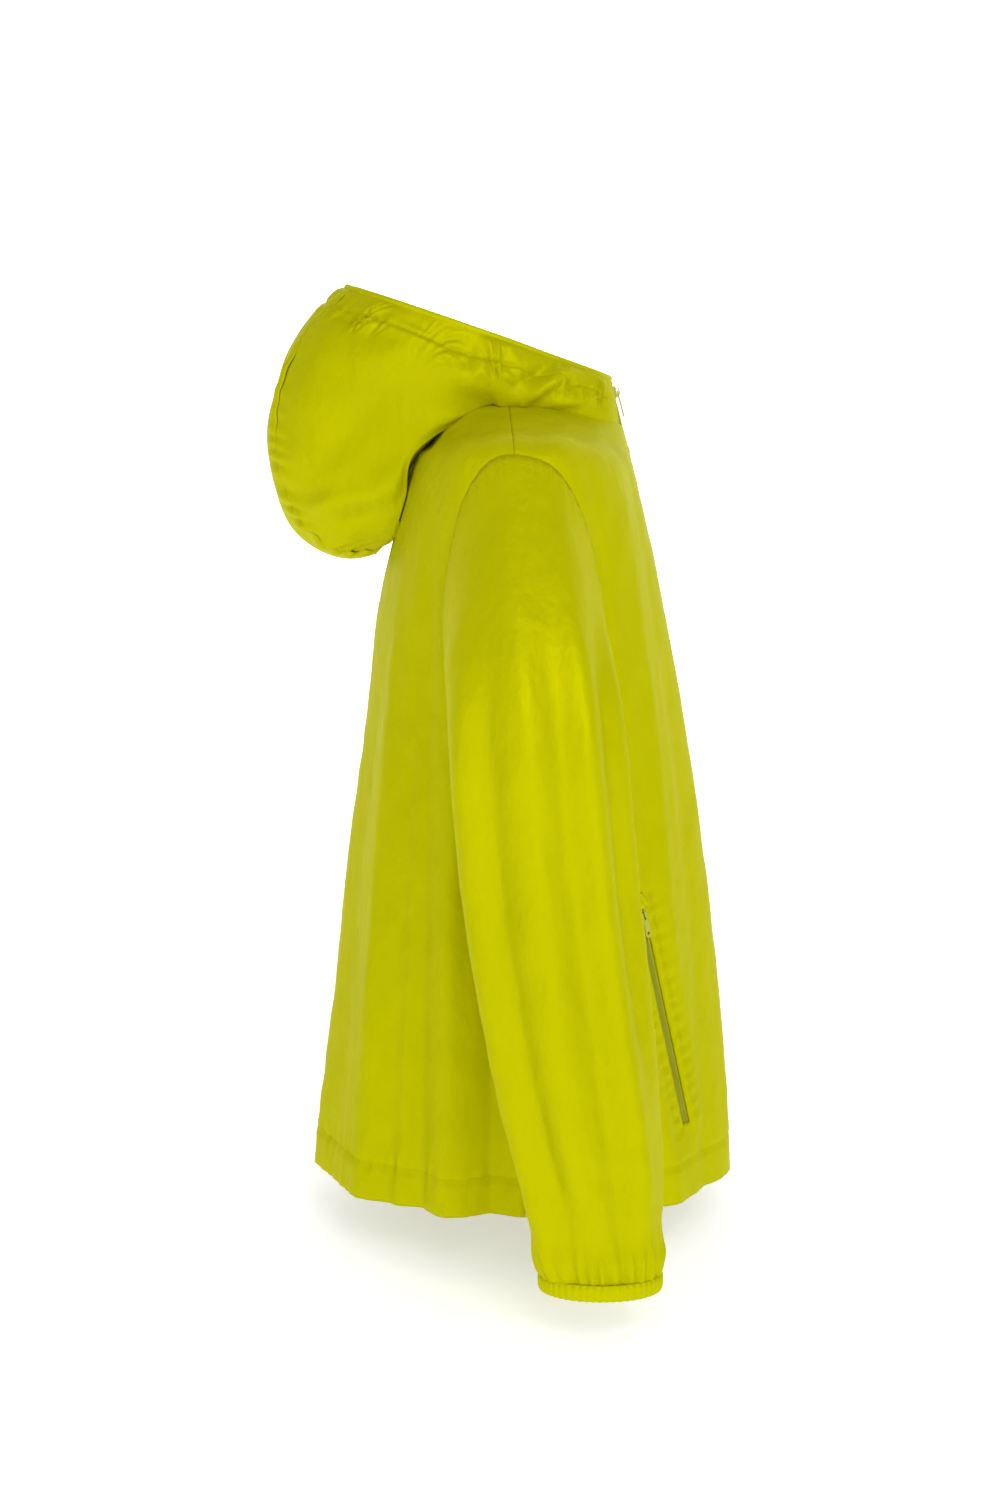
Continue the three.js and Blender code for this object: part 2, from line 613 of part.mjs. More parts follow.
// A bar that follows the arc, between two distances down it, with a rectangular section.
function arcBar(inner, outer, low, high, from, to, along) {
  return sheetSolid((s, t, w) => (
    onArc(-lerp(inner, outer, s), lerp(from, to, t), lerp(low, high, w))
  ), 1, along);
}

const ZIP_START = 2;                // tape end, below the top of the collar
const ZIP_END = ARC_LENGTH - 1;
const STOP_LENGTH = 3;
const tapeProud = -ZIP_TAPE_SINK;
const teethFoot = tapeProud + SEAM_GAP;
const teethProud = teethFoot + TEETH_HEIGHT;
const teethOuter = TEETH_GAP + TEETH_WIDTH;
const teethStart = ZIP_START + STOP_LENGTH + 1;
const teethEnd = ZIP_END - BOTTOM_BOX - 1;
addPair('zip_tape', arcBar(
  TEETH_GAP + 0.4,
  TEETH_GAP + ZIP_TAPE_WIDTH,
  tapeProud - FACING,
  tapeProud,
  ZIP_START,
  ZIP_END,
  16,
), TRIM_TONE, 0.7);
addPair('zip_teeth', arcBar(
  TEETH_GAP,
  teethOuter,
  teethFoot,
  teethProud,
  teethStart,
  teethEnd,
  16,
), NYLON_TONE, 0.4);
addPair('zip_top_stop', arcBar(
  TEETH_GAP,
  teethOuter,
  teethFoot,
  teethProud + 0.4,
  ZIP_START,
  ZIP_START + STOP_LENGTH,
  1,
), METAL_TONE, 0.4);
addMesh('zip_retainer_box', mirrored(arcBar(
  TEETH_GAP - 0.3,
  teethOuter + 1.2,
  teethFoot,
  teethProud + 0.8,
  ZIP_END - BOTTOM_BOX,
  ZIP_END,
  1,
)), METAL_TONE, 0.4);
addMesh('zip_insertion_pin', arcBar(
  TEETH_GAP - 0.3,
  teethOuter - 0.4,
  teethFoot,
  teethProud + 0.2,
  ZIP_END - BOTTOM_BOX,
  ZIP_END,
  1,
), METAL_TONE, 0.4);

const frontSliderRow = {
  halfWidth: teethOuter + 1.7,
  wall: 1.0,
  webHalf: TEETH_GAP - SEAM_GAP,
  top: teethProud + 1.6,
  underside: teethProud + SEAM_GAP,
  lipFoot: teethProud - 1.5,
  backTop: tapeProud - FACING - SEAM_GAP,
  bottom: tapeProud - FACING - SEAM_GAP - 0.9,
};
const frontSliderDown = ZIP_START + STOP_LENGTH + 1.5 + SLIDER_LENGTH / 2;

// Places a piece made about its own origin at a distance down the arc.
function inZipFrame(geometry) {
  const at = onArc(0, frontSliderDown, 0);
  const out = onArc(0, frontSliderDown, 1).sub(at);
  const across = new THREE.Vector3(1, 0, 0);
  const up = out.clone().cross(across);
  const frame = new THREE.Matrix4().makeBasis(across, up, out).setPosition(at);
  return closedSolid(geometry.clone().applyMatrix4(frame));
}

const frontBar = frontSliderRow.top + ARCH_BAR;
const frontSlider = sliderBody(frontSliderRow, SLIDER_LENGTH);
const frontPuller = puller(PULLER_LENGTH, PULLER_WIDTH, 1.5).translate(0, 0, frontBar);
addMesh('zip_slider', inZipFrame(frontSlider), METAL_TONE, 0.35, parts, 0.6);
addMesh('zip_puller', inZipFrame(frontPuller), METAL_TONE, 0.35, parts, 0.6);

// ---- Collar and neck ----------------------------------------------------------------------------

// The collar stands on the neckline: highest at the front, low at the back.
function collarPoint(u, t) {
  const foot = torsoPoint(u, 1);
  const towardsFront = clamp(-Math.sin(u), 0, 1);
  const height = lerp(COLLAR_BACK_HEIGHT, COLLAR_HEIGHT, towardsFront ** 0.8);
  const lean = (arcDepth(foot.z + height) - arcDepth(foot.z)) * towardsFront ** 2;
  const lift = 0.6 + t * height;
  return new THREE.Vector3(foot.x * (1 - 0.06 * t), foot.y + lean * t, foot.z + lift);
}

const BACK_SEAM_ANGLE = 0.003;      // keeps the collar's halves apart at the back
const collar = sheetSolid((s, t, w) => {
  const u = lerp(BACK + BACK_SEAM_ANGLE, FRONT - roundFromFront(ZIP_OPENING, 1), s);
  const inside = new THREE.Vector3(0, HOOD_HINGE.x - 25, t * COLLAR_HEIGHT);
  return sunk(collarPoint, u, t, CLOTH * (1 - w), inside);
}, 16, 3);
addPair('collar', collar, SHELL_LIGHT, 0.5);

const NECK_TAPE_FIRST = 3;          // first and last columns of the back panel that the tape covers
const NECK_TAPE_LAST = BACK_COLUMNS - NECK_TAPE_FIRST;
const topRowHeight = BACK_LINE.getPoint(1).distanceTo(BACK_LINE.getPoint(1 - 1 / STATIONS));
const neckTapeRows = NECK_TAPE_WIDTH / topRowHeight / STATIONS;
const neckTape = sheetSolid((s, t, w) => {
  const v = 1 - neckTapeRows * (1 - t);
  const share = lerp(NECK_TAPE_FIRST, NECK_TAPE_LAST, s) / BACK_COLUMNS;
  return torsoSunk(roundOfBack(share, v), v, underCloth + 2 * SEAM_GAP + FACING * (1 - w));
}, NECK_TAPE_LAST - NECK_TAPE_FIRST, 1);
addMesh('neck_tape', neckTape, TRIM_TONE, 0.7);

// A folded ribbon whose ends are sewn under the neck tape. Its middle is the origin.
const LOOP_HALF_SPAN = 24;
const LOOP_DROP = 7;
const LOOP_WIDTH = 4;
const LOOP_WALL = 0.8;
const LOOP_OUT = 1;                 // its ends lie nearer the tape than its middle
const loopPath = new THREE.CatmullRomCurve3([
  new THREE.Vector3(-LOOP_HALF_SPAN, LOOP_OUT, LOOP_DROP),
  new THREE.Vector3(-LOOP_HALF_SPAN * 0.8, 0, LOOP_DROP * 0.3),
  new THREE.Vector3(0, 0, 0),
  new THREE.Vector3(LOOP_HALF_SPAN * 0.8, 0, LOOP_DROP * 0.3),
  new THREE.Vector3(LOOP_HALF_SPAN, LOOP_OUT, LOOP_DROP),
]);
const loopSection = new THREE.Shape([
  new THREE.Vector2(-LOOP_WALL / 2, -LOOP_WIDTH / 2),
  new THREE.Vector2(LOOP_WALL / 2, -LOOP_WIDTH / 2),
  new THREE.Vector2(LOOP_WALL / 2, LOOP_WIDTH / 2),
  new THREE.Vector2(-LOOP_WALL / 2, LOOP_WIDTH / 2),
]);
const hangerLoop = new THREE.ExtrudeGeometry(loopSection, { steps: 14, extrudePath: loopPath });
addMesh('hanger_loop', closedSolid(hangerLoop), TRIM_TONE, 0.7);

// ---- Sleeves ------------------------------------------------------------------------------------

function ringPoint(ring, turn) {
  return new THREE.Vector3(
    ring.centre[0] - ring.acrossX * Math.cos(turn),
    ring.centre[1] - ring.acrossY * Math.sin(turn),
    ring.centre[2] + ring.raised * Math.cos(turn),
  );
}

// The sleeve head lies over the armhole edge, which is an ellipse in u and v.
function sleeveHead(turn) {
  const middle = (ARMPIT_ROW + SHOULDER_ROW) / 2;
  const half = (SHOULDER_ROW - ARMPIT_ROW) / 2;
  const u = RIGHT_SIDE + ARMHOLE_SPREAD * Math.sin(turn);
  return torsoSunk(u, middle + half * Math.cos(turn), -SLEEVE_LAP);
}

function sleevePoint(turn, t) {
  const rings = SLEEVE_RINGS.map((ring) => ringPoint(ring, turn));
  const line = smoothLine([sleeveHead(turn), ...rings, ringPoint(CUFF, turn)]);
  return line.getPoint(clamp(t, 0, 1));
}

function sleeveAxis(t) {
  return sleevePoint(0, t).add(sleevePoint(Math.PI, t)).multiplyScalar(0.5);
}

const SLEEVE_AROUND = 24;
const sleeve = tubeSolid((s, t, w) => {
  const turn = s * 2 * Math.PI;
  return sunk(sleevePoint, turn, t, CLOTH * (1 - w), sleeveAxis(t));
}, SLEEVE_AROUND, 16);
addPair('sleeve', sleeve, SHELL_LIGHT, 0.5);

// A band round the cuff, between two heights below the cuff seam.
function cuffBand(inset, wall, low, high) {
  return tubeSolid((s, t, w) => {
    const shrink = inset + wall * (1 - w);
    const turn = s * 2 * Math.PI;
    const ring = { ...CUFF, acrossX: CUFF.acrossX - shrink, acrossY: CUFF.acrossY - shrink };
    const point = ringPoint(ring, turn);
    point.z += lerp(low, high, t);
    return point;
  }, SLEEVE_AROUND, 1);
}

const cuffBinding = cuffBand(0, CLOTH, -CUFF_BINDING, -SEAM_GAP);
const cuffElastic = cuffBand(CLOTH + SEAM_GAP, FACING, -CUFF_BINDING + 1, -SEAM_GAP - 1);
addPair('cuff_binding', cuffBinding, TRIM_TONE, 0.6);
addPair('cuff_elastic', cuffElastic, ELASTIC_TONE, 0.8);

// ---- Hood ---------------------------------------------------------------------------------------

// Distance from the hinge line to the hood's outline, in the direction of an angle above +Y.
function hoodReach(angle) {
  if (angle >= HOOD_FULLEST) {
    const share = (angle - HOOD_FULLEST) / HOOD_RIM_TURN;
    return HOOD_REACH - HOOD_RIM_DROP * share ** HOOD_RIM_CURVE;
  }
  const share = Math.min((HOOD_FULLEST - angle) / HOOD_FOOT_TURN, 1);
  return HOOD_REACH - HOOD_FOOT_DROP * share ** HOOD_FOOT_CURVE;
}

// Angle of the rim, and of the underside that lies on the back, at a distance from the hinge line.
function rimAngle(radius) {
  return HOOD_RIM_SLOPE + Math.asin(clamp(HOOD_RIM_DISTANCE / radius, -1, 1));
}

function undersideAngle(radius) {
  const share = (UNDERSIDE_STRAIGHT - Math.min(radius, UNDERSIDE_STRAIGHT)) / UNDERSIDE_CURVE;
  return UNDERSIDE_SLOPE + UNDERSIDE_RISE * share ** 2;
}

function fromHinge(across, radius, angle) {
  return new THREE.Vector3(
    across,
    HOOD_HINGE.x + radius * Math.cos(angle),
    HOOD_HINGE.y + radius * Math.sin(angle),
  );
}

// Share of the reach at which the hood's surface is a distance from the middle, and the reverse.
function shareAtWidth(halfWidth) {
  return (1 - (Math.abs(halfWidth) / HOOD_HALF_WIDTH) ** HOOD_SQUARENESS) ** (1 / HOOD_SQUARENESS);
}

function widthAtShare(share) {
  return HOOD_HALF_WIDTH * (1 - share ** HOOD_SQUARENESS) ** (1 / HOOD_SQUARENESS);
}

// The side of the hood: s runs from near the hinge line out to the seam, k from the rim to the underside.
const hoodSeamShare = shareAtWidth(HOOD_CENTRE_HALF_WIDTH + HOOD_SEWN_GAP);
const ROUNDS = 8;                   // enough for a radius and its angle to settle
const SIDE_RAISE = degToRad(2.3);   // the side panels stop above the underside
function hoodSidePlace(s, k) {
  let angle = 0;
  let radius = HOOD_REACH;
  for (let i = 0; i < ROUNDS; i += 1) {
    radius = lerp(HOOD_INNER, hoodSeamShare * hoodReach(angle), s);
    angle = lerp(rimAngle(radius), undersideAngle(radius) + SIDE_RAISE, k);
  }
  return { radius, angle };
}

function hoodSidePoint(s, k) {
  const { radius, angle } = hoodSidePlace(s, k);
  return fromHinge(-widthAtShare(Math.min(radius / hoodReach(angle), 1)), radius, angle);
}

const hoodMiddle = new THREE.Vector3(0, 30, 0);
const SIDE_COLUMNS = 9;
const hoodSide = sheetSolid((s, t, w) => (
  sunk(hoodSidePoint, s, t, CLOTH * (1 - w), hoodMiddle)
), SIDE_COLUMNS, 12);
addPair('hood_side', hoodSide, SHELL_LIGHT, 0.5);

// The centre panel runs from the rim over the back, then turns in under the hood and widens there.
const BOTTOM_ANGLE = degToRad(-46.5);
const BACK_SHARE = 0.68;            // of the panel's length lies over the back, the rest is the underside
const UNDERSIDE_HALF_WIDTH = 84;
const UNDERSIDE_INNER = 76;         // the underside starts this far from the hinge line
const hoodCentreHalf = (t) => lerp(
  HOOD_CENTRE_HALF_WIDTH,
  UNDERSIDE_HALF_WIDTH,
  THREE.MathUtils.smoothstep(t, BACK_SHARE + 0.05, BACK_SHARE + 0.2),
);

// Angle of the rim where the hood's surface is a distance from the middle.
function rimAngleAtWidth(across) {
  let angle = HOOD_RIM_SLOPE;
  for (let i = 0; i < ROUNDS; i += 1) angle = rimAngle(shareAtWidth(across) * hoodReach(angle));
  return angle;
}

function hoodCentrePoint(across, t) {
  if (t <= BACK_SHARE) {
    const angle = lerp(rimAngleAtWidth(across), BOTTOM_ANGLE, t / BACK_SHARE);
    return fromHinge(across, shareAtWidth(across) * hoodReach(angle), angle);
  }
  const start = hoodReach(BOTTOM_ANGLE) * shareAtWidth(HOOD_CENTRE_HALF_WIDTH) - 4;
  const radius = lerp(start, UNDERSIDE_INNER, (t - BACK_SHARE) / (1 - BACK_SHARE));
  return fromHinge(across, radius, undersideAngle(radius));
}

const hoodCentre = sheetSolid((s, t, w) => {
  const across = lerp(-1, 1, s) * hoodCentreHalf(t);
  return sunk(hoodCentrePoint, across, t, CLOTH * (1 - w), new THREE.Vector3(across, 60, -20));
}, 6, 20);
addMesh('hood_centre_panel', hoodCentre, SHELL_DEEP);

// A round tube along the rim, a distance below its edge and a depth inside the hood's outer surface.
function rimTube(tubeRadius, below, depth, sides) {
  const half = [];
  for (let i = 0; i <= SIDE_COLUMNS; i += 1) {
    const s = i / SIDE_COLUMNS;
    const { radius, angle } = hoodSidePlace(s, 0);
    const length = radius * (angle - hoodSidePlace(s, 1).angle);
    half.push(sunk(hoodSidePoint, s, below / length, depth, hoodMiddle));
  }
  const backLength = hoodReach(0) * (rimAngleAtWidth(0) - BOTTOM_ANGLE) / BACK_SHARE;
  const centre = [-2 / 3, -1 / 3, 0, 1 / 3, 2 / 3].map((share) => (
    sunk(hoodCentrePoint, share * HOOD_CENTRE_HALF_WIDTH, below / backLength, depth, hoodMiddle)
  ));
  const otherHalf = half.map((point) => new THREE.Vector3(-point.x, point.y, point.z)).reverse();
  const path = smoothLine([...half, ...centre, ...otherHalf]);
  const section = new THREE.Shape().absarc(0, 0, tubeRadius, 0, 2 * Math.PI, false);
  const options = { steps: 46, extrudePath: path, curveSegments: sides };
  return closedSolid(new THREE.ExtrudeGeometry(section, options));
}

const RIM_CLEARANCE = 0.9;          // between the rim's edge and the binding that closes it
const ELASTIC_RADIUS = 0.8;
const elasticDepth = CLOTH + SEAM_GAP + ELASTIC_RADIUS + 0.6;
const hoodBinding = rimTube(BINDING_RADIUS, -BINDING_RADIUS - RIM_CLEARANCE, CLOTH / 2, 6);
const hoodElastic = rimTube(ELASTIC_RADIUS, HOOD_CHANNEL, elasticDepth, 5);
addMesh('hood_binding', hoodBinding, TRIM_TONE, 0.6);
addMesh('hood_elastic', hoodElastic, ELASTIC_TONE, 0.8);

parts.updateMatrixWorld(true);
export default parts;
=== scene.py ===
"""Lightweight hooded shell jacket: the visual model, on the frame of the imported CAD.

Metres throughout. +Z is up, the front faces -Y, the wearer's right is -X, and the origin is the
middle of the hanger loop inside the back of the neck.
"""

import math

import bpy
import numpy as np
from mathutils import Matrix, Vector


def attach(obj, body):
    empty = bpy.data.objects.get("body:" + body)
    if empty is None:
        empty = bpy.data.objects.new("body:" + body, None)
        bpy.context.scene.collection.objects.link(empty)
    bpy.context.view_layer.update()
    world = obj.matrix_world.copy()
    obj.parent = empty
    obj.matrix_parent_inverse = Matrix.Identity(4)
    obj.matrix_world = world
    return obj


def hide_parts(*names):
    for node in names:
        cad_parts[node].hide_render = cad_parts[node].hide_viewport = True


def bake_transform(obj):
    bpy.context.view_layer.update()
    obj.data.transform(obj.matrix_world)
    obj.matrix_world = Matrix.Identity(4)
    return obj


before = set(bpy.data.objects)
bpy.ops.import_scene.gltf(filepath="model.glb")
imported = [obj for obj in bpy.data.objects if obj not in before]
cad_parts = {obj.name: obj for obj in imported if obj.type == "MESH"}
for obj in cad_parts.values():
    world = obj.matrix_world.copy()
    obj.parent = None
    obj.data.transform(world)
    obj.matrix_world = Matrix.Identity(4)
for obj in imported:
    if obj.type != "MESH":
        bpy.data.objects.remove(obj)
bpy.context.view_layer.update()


# ---- Camera, floor and light ----------------------------------------------------------------------
# A studio view of the wearer's right side, from chest height and 2.2 m away.
# The backdrop is a white sweep: a floor just under the cuffs that curves up into a wall.

CAMERA_PLACE = (-2.2, -0.036, 0.0)
CAMERA_PITCH = math.radians(7.725)
FLOOR_HEIGHT = -0.70
SWEEP_DISTANCE = 1.6
SWEEP_RADIUS = 0.8
SWEEP_HALF_WIDTH = 5.0

camera_data = bpy.data.cameras.new("photo_camera")
camera_data.lens = 61.4
camera_data.sensor_width = 36.0
camera = bpy.data.objects.new("photo_camera", camera_data)
camera.location = CAMERA_PLACE
camera.rotation_euler = (math.pi / 2 - CAMERA_PITCH, 0, -math.pi / 2)
bpy.context.collection.objects.link(camera)
bpy.context.scene.camera = camera


def new_object(name, points, faces):
    """A mesh object from an (n, 3) array of points and an (m, 4) array of corner indices."""
    mesh = bpy.data.meshes.new(name)
    mesh.from_pydata(points.tolist(), [], faces.tolist())
    mesh.validate()
    mesh.shade_smooth()
    obj = bpy.data.objects.new(name, mesh)
    bpy.context.collection.objects.link(obj)
    return obj


def grid_faces(rows, columns):
    """Corner indices of the quads of a grid of points stored row by row."""
    corner = np.arange(rows * columns).reshape(rows, columns)
    quads = (corner[:-1, :-1], corner[:-1, 1:], corner[1:, 1:], corner[1:, :-1])
    return np.stack(quads, axis=-1).reshape(-1, 4)


def sweep_surface():
    """The backdrop: x(a) along the floor, then a quarter circle of SWEEP_RADIUS, then up the wall."""
    turn = np.linspace(0, math.pi / 2, 24)
    bend_x = SWEEP_DISTANCE + SWEEP_RADIUS * np.sin(turn)
    bend_z = FLOOR_HEIGHT + SWEEP_RADIUS * (1 - np.cos(turn))
    line_x = np.concatenate([[-6.0], bend_x, [bend_x[-1]]])
    line_z = np.concatenate([[FLOOR_HEIGHT], bend_z, [5.0]])
    across = np.array([-SWEEP_HALF_WIDTH, SWEEP_HALF_WIDTH])
    x, y = np.meshgrid(line_x, across, indexing="ij")
    z = np.broadcast_to(line_z[:, None], x.shape)
    return new_object("floor", np.stack([x, y, z], -1).reshape(-1, 3), grid_faces(len(line_x), 2))


def node_material(name, colour, roughness):
    """A new material, with its nodes, links and Principled shader."""
    material = bpy.data.materials.new(name)
    material.use_nodes = True
    shader = material.node_tree.nodes["Principled BSDF"]
    shader.inputs["Base Color"].default_value = (*colour, 1)
    shader.inputs["Roughness"].default_value = roughness
    return material, material.node_tree.nodes, material.node_tree.links, shader


floor = sweep_surface()
floor_material, nodes, links, shader = node_material("studio_white", (0.93, 0.93, 0.93), 0.8)
floor_grain = nodes.new("ShaderNodeTexNoise")
floor_grain.inputs["Scale"].default_value = 3.0
floor_tone = nodes.new("ShaderNodeMapRange")
floor_tone.inputs["To Min"].default_value = 0.76
floor_tone.inputs["To Max"].default_value = 0.84
links.new(floor_grain.outputs["Fac"], floor_tone.inputs["Value"])
links.new(floor_tone.outputs["Result"], shader.inputs["Roughness"])
shader.inputs["Emission Color"].default_value = (1, 1, 1, 1)
shader.inputs["Emission Strength"].default_value = 0.5
floor.data.materials.append(floor_material)

world = bpy.data.worlds.new("studio")
bpy.context.scene.world = world
world.use_nodes = True
world.node_tree.nodes["Background"].inputs["Color"].default_value = (1, 1, 1, 1)
world.node_tree.nodes["Background"].inputs["Strength"].default_value = 0.34
bpy.context.scene.view_settings.view_transform = "Standard"
bpy.context.scene.view_settings.look = "None"


def area_light(name, place, aim, width, height, power):
    """A soft box at a place, facing the point aim."""
    light = bpy.data.lights.new(name, "AREA")
    light.shape = "RECTANGLE"
    light.size = width
    light.size_y = height
    light.energy = power
    obj = bpy.data.objects.new(name, light)
    obj.location = place
    direction = Vector(aim) - Vector(place)
    obj.rotation_euler = direction.to_track_quat("-Z", "Y").to_euler()
    bpy.context.collection.objects.link(obj)


area_light("key_light", (-2.6, -0.75, 1.15), (0, -0.05, -0.35), 1.7, 1.7, 37)
area_light("fill_light", (-1.9, 2.2, 0.3), (0, 0, -0.35), 1.2, 1.8, 6)
area_light("wall_light", (1.3, 0, 0.6), (2.4, 0, 0.4), 3.6, 2.4, 20)


# ---- Shell cloth ----------------------------------------------------------------------------------
# The fabric of every outer panel: a thin, smooth, yellow-green nylon with a satin face.
# It is a plain weave, slightly crumpled from being worn, and a little darker where it turns away.

WEAVE_PITCH = 0.0007


def bump_chain(nodes, links, shader, heights):
    """Joins (socket, strength, distance) heights into one chain of bumps on a shader's normal."""
    last = None
    for socket, strength, distance in heights:
        bump = nodes.new("ShaderNodeBump")
        bump.inputs["Strength"].default_value = strength
        bump.inputs["Distance"].default_value = distance
        links.new(socket, bump.inputs["Height"])
        if last is not None:
            links.new(last.outputs["Normal"], bump.inputs["Normal"])
        last = bump
    links.new(last.outputs["Normal"], shader.inputs["Normal"])


def weave_height(nodes, links, pitch):
    """Height socket of a plain weave: two crossing sets of ridges that follow the cloth's own UVs."""
    place = nodes.new("ShaderNodeUVMap")
    place.uv_map = "cloth"
    total = nodes.new("ShaderNodeMath")
    total.operation = "MAXIMUM"
    for index, direction in enumerate(("X", "Y")):
        wave = nodes.new("ShaderNodeTexWave")
        wave.bands_direction = direction
        wave.inputs["Scale"].default_value = 2 * math.pi / (20 * pitch)
        links.new(place.outputs["UV"], wave.inputs["Vector"])
        links.new(wave.outputs["Fac"], total.inputs[index])
    return total.outputs["Value"]


def noise_node(nodes, links, scale, detail, stretch=(1, 1, 1)):
    """A noise texture on Object coordinates, in cycles per metre, stretched by (x, y, z)."""
    coordinate = nodes.new("ShaderNodeTexCoord")
    mapping = nodes.new("ShaderNodeMapping")
    mapping.inputs["Scale"].default_value = stretch
    noise = nodes.new("ShaderNodeTexNoise")
    noise.inputs["Scale"].default_value = scale
    noise.inputs["Detail"].default_value = detail
    links.new(coordinate.outputs["Object"], mapping.inputs["Vector"])
    links.new(mapping.outputs["Vector"], noise.inputs["Vector"])
    return noise


def cloth_material(name, light, deep, roughness, crumple):
    """Satin nylon between a light and a deep tone, with weave and crumple."""
    material, nodes, links, shader = node_material(name, light, roughness)
    patches = noise_node(nodes, links, 7.0, 3.0, (1, 1, 0.5))
    tone = nodes.new("ShaderNodeMix")
    tone.data_type = "RGBA"
    tone.inputs[6].default_value = (*light, 1)
    tone.inputs[7].default_value = (*deep, 1)
    links.new(patches.outputs["Fac"], tone.inputs[0])
    links.new(tone.outputs[2], shader.inputs["Base Color"])
    wear = noise_node(nodes, links, 25.0, 4.0)
    gloss = nodes.new("ShaderNodeMapRange")
    gloss.inputs["To Min"].default_value = roughness - 0.07
    gloss.inputs["To Max"].default_value = roughness + 0.09
    links.new(wear.outputs["Fac"], gloss.inputs["Value"])
    links.new(gloss.outputs["Result"], shader.inputs["Roughness"])
    creases = noise_node(nodes, links, 38.0, 3.0, (1, 1, 0.45))
    fine = noise_node(nodes, links, 160.0, 2.0)
    bump_chain(nodes, links, shader, [
        (creases.outputs["Fac"], 0.5 * crumple, 0.006),
        (fine.outputs["Fac"], 0.35 * crumple, 0.0012),
        (weave_height(nodes, links, WEAVE_PITCH), 0.25, 0.00012),
    ])
    shader.inputs["Specular IOR Level"].default_value = 0.02
    shader.inputs["Metallic"].default_value = 0.22
    shader.inputs["Specular Tint"].default_value = (1.0, 0.97, 0.22, 1)
    shader.inputs["Sheen Weight"].default_value = 0.02
    shader.inputs["Sheen Roughness"].default_value = 0.4
    shader.inputs["Sheen Tint"].default_value = (1.0, 0.98, 0.1, 1)
    shader.inputs["Anisotropic"].default_value = 0.25
    return material


SHELL_LIGHT = (0.60, 0.58, 0.0006)
SHELL_DEEP = (0.50, 0.50, 0.0004)
shell_cloth = cloth_material("shell_nylon", SHELL_LIGHT, SHELL_DEEP, 0.50, 1.15)
trim_cloth = cloth_material("trim_nylon", (0.60, 0.60, 0.001), (0.53, 0.53, 0.0005), 0.5, 0.4)


# ---- Body panels ----------------------------------------------------------------------------------
# Three panels of the shell cloth: one back and two fronts, sewn at the shoulders and side seams.
# They hang from the shoulders in long soft folds that open towards the hem.

CLOTH = 0.0010
FRONT = 3 * math.pi / 2
SIDE = math.pi

HEM_HEIGHT = -0.652
ARMPIT_HEIGHT = -0.255
SHOULDER = (0.228, -0.047, -0.039)
ARMHOLE_SPREAD = 0.5
BODY_ROUND = 2 / 2.3
STATIONS = 7
ARMPIT_ROW = 3 / STATIONS
SHOULDER_ROW = 5 / STATIONS
ARC_RADIUS = 3.414735
ARC_DEPTH = 3.170687
ARC_HEIGHT = -0.855146


def arc_depth(z):
    """Depth of the front closure at height z: y = c - sqrt(R^2 - (z - h)^2)."""
    return ARC_DEPTH - np.sqrt(ARC_RADIUS**2 - (z - ARC_HEIGHT) ** 2)


def smooth_line(points, t):
    """Uniform Catmull-Rom curve through points, at t from 0 to 1.

    With p0..p3 round the span and w the share of it: p1 + w m1 + w^2 (3 (p2 - p1) - 2 m1 - m2)
    + w^3 (2 (p1 - p2) + m1 + m2), where m1 = (p2 - p0) / 2 and m2 = (p3 - p1) / 2. points is (k, 3),
    or (k, columns, 3) for a curve that differs in every column of t.
    """
    points = np.asarray(points, float)
    ends = (2 * points[:1] - points[1:2], points, 2 * points[-1:] - points[-2:-1])
    padded = np.concatenate(ends)
    place = np.clip(t, 0, 1) * (len(points) - 1)
    span = np.minimum(place.astype(int), len(points) - 2)
    w = (place - span)[..., None]
    if points.ndim == 2:
        p0, p1, p2, p3 = (padded[span + i] for i in range(4))
    else:
        column = np.arange(points.shape[1])
        p0, p1, p2, p3 = (padded[span + i, column] for i in range(4))
    m1 = (p2 - p0) / 2
    m2 = (p3 - p1) / 2
    return p1 + w * m1 + w**2 * (3 * (p2 - p1) - 2 * m1 - m2) + w**3 * (2 * (p1 - p2) + m1 + m2)


SIDE_LINE = [
    (0.203, -0.057, -0.652),
    (0.20633, -0.057, -0.51967),
    (0.20967, -0.057, -0.38733),
    (0.213, -0.057, -0.255),
    (0.223, -0.055, -0.14916),
    SHOULDER,
    (0.151, -0.045, -0.0195),
    (0.074, -0.043, 0.002),
]
BACK_LINE = [
    (0, 0.124, -0.652),
    (0, 0.10833, -0.51967),
    (0, 0.09267, -0.38733),
    (0, 0.077, -0.255),
    (0, 0.064, -0.15348),
    (0, 0.039, -0.059),
    (0, 0.026, -0.032),
    (0, 0.006, 0.006),
]
FRONT_HEIGHTS = [-0.652, -0.51967, -0.38733, -0.255, -0.1578, -0.061, -0.038, -0.019]
FRONT_LINE = [(0, arc_depth(z), z) for z in FRONT_HEIGHTS]


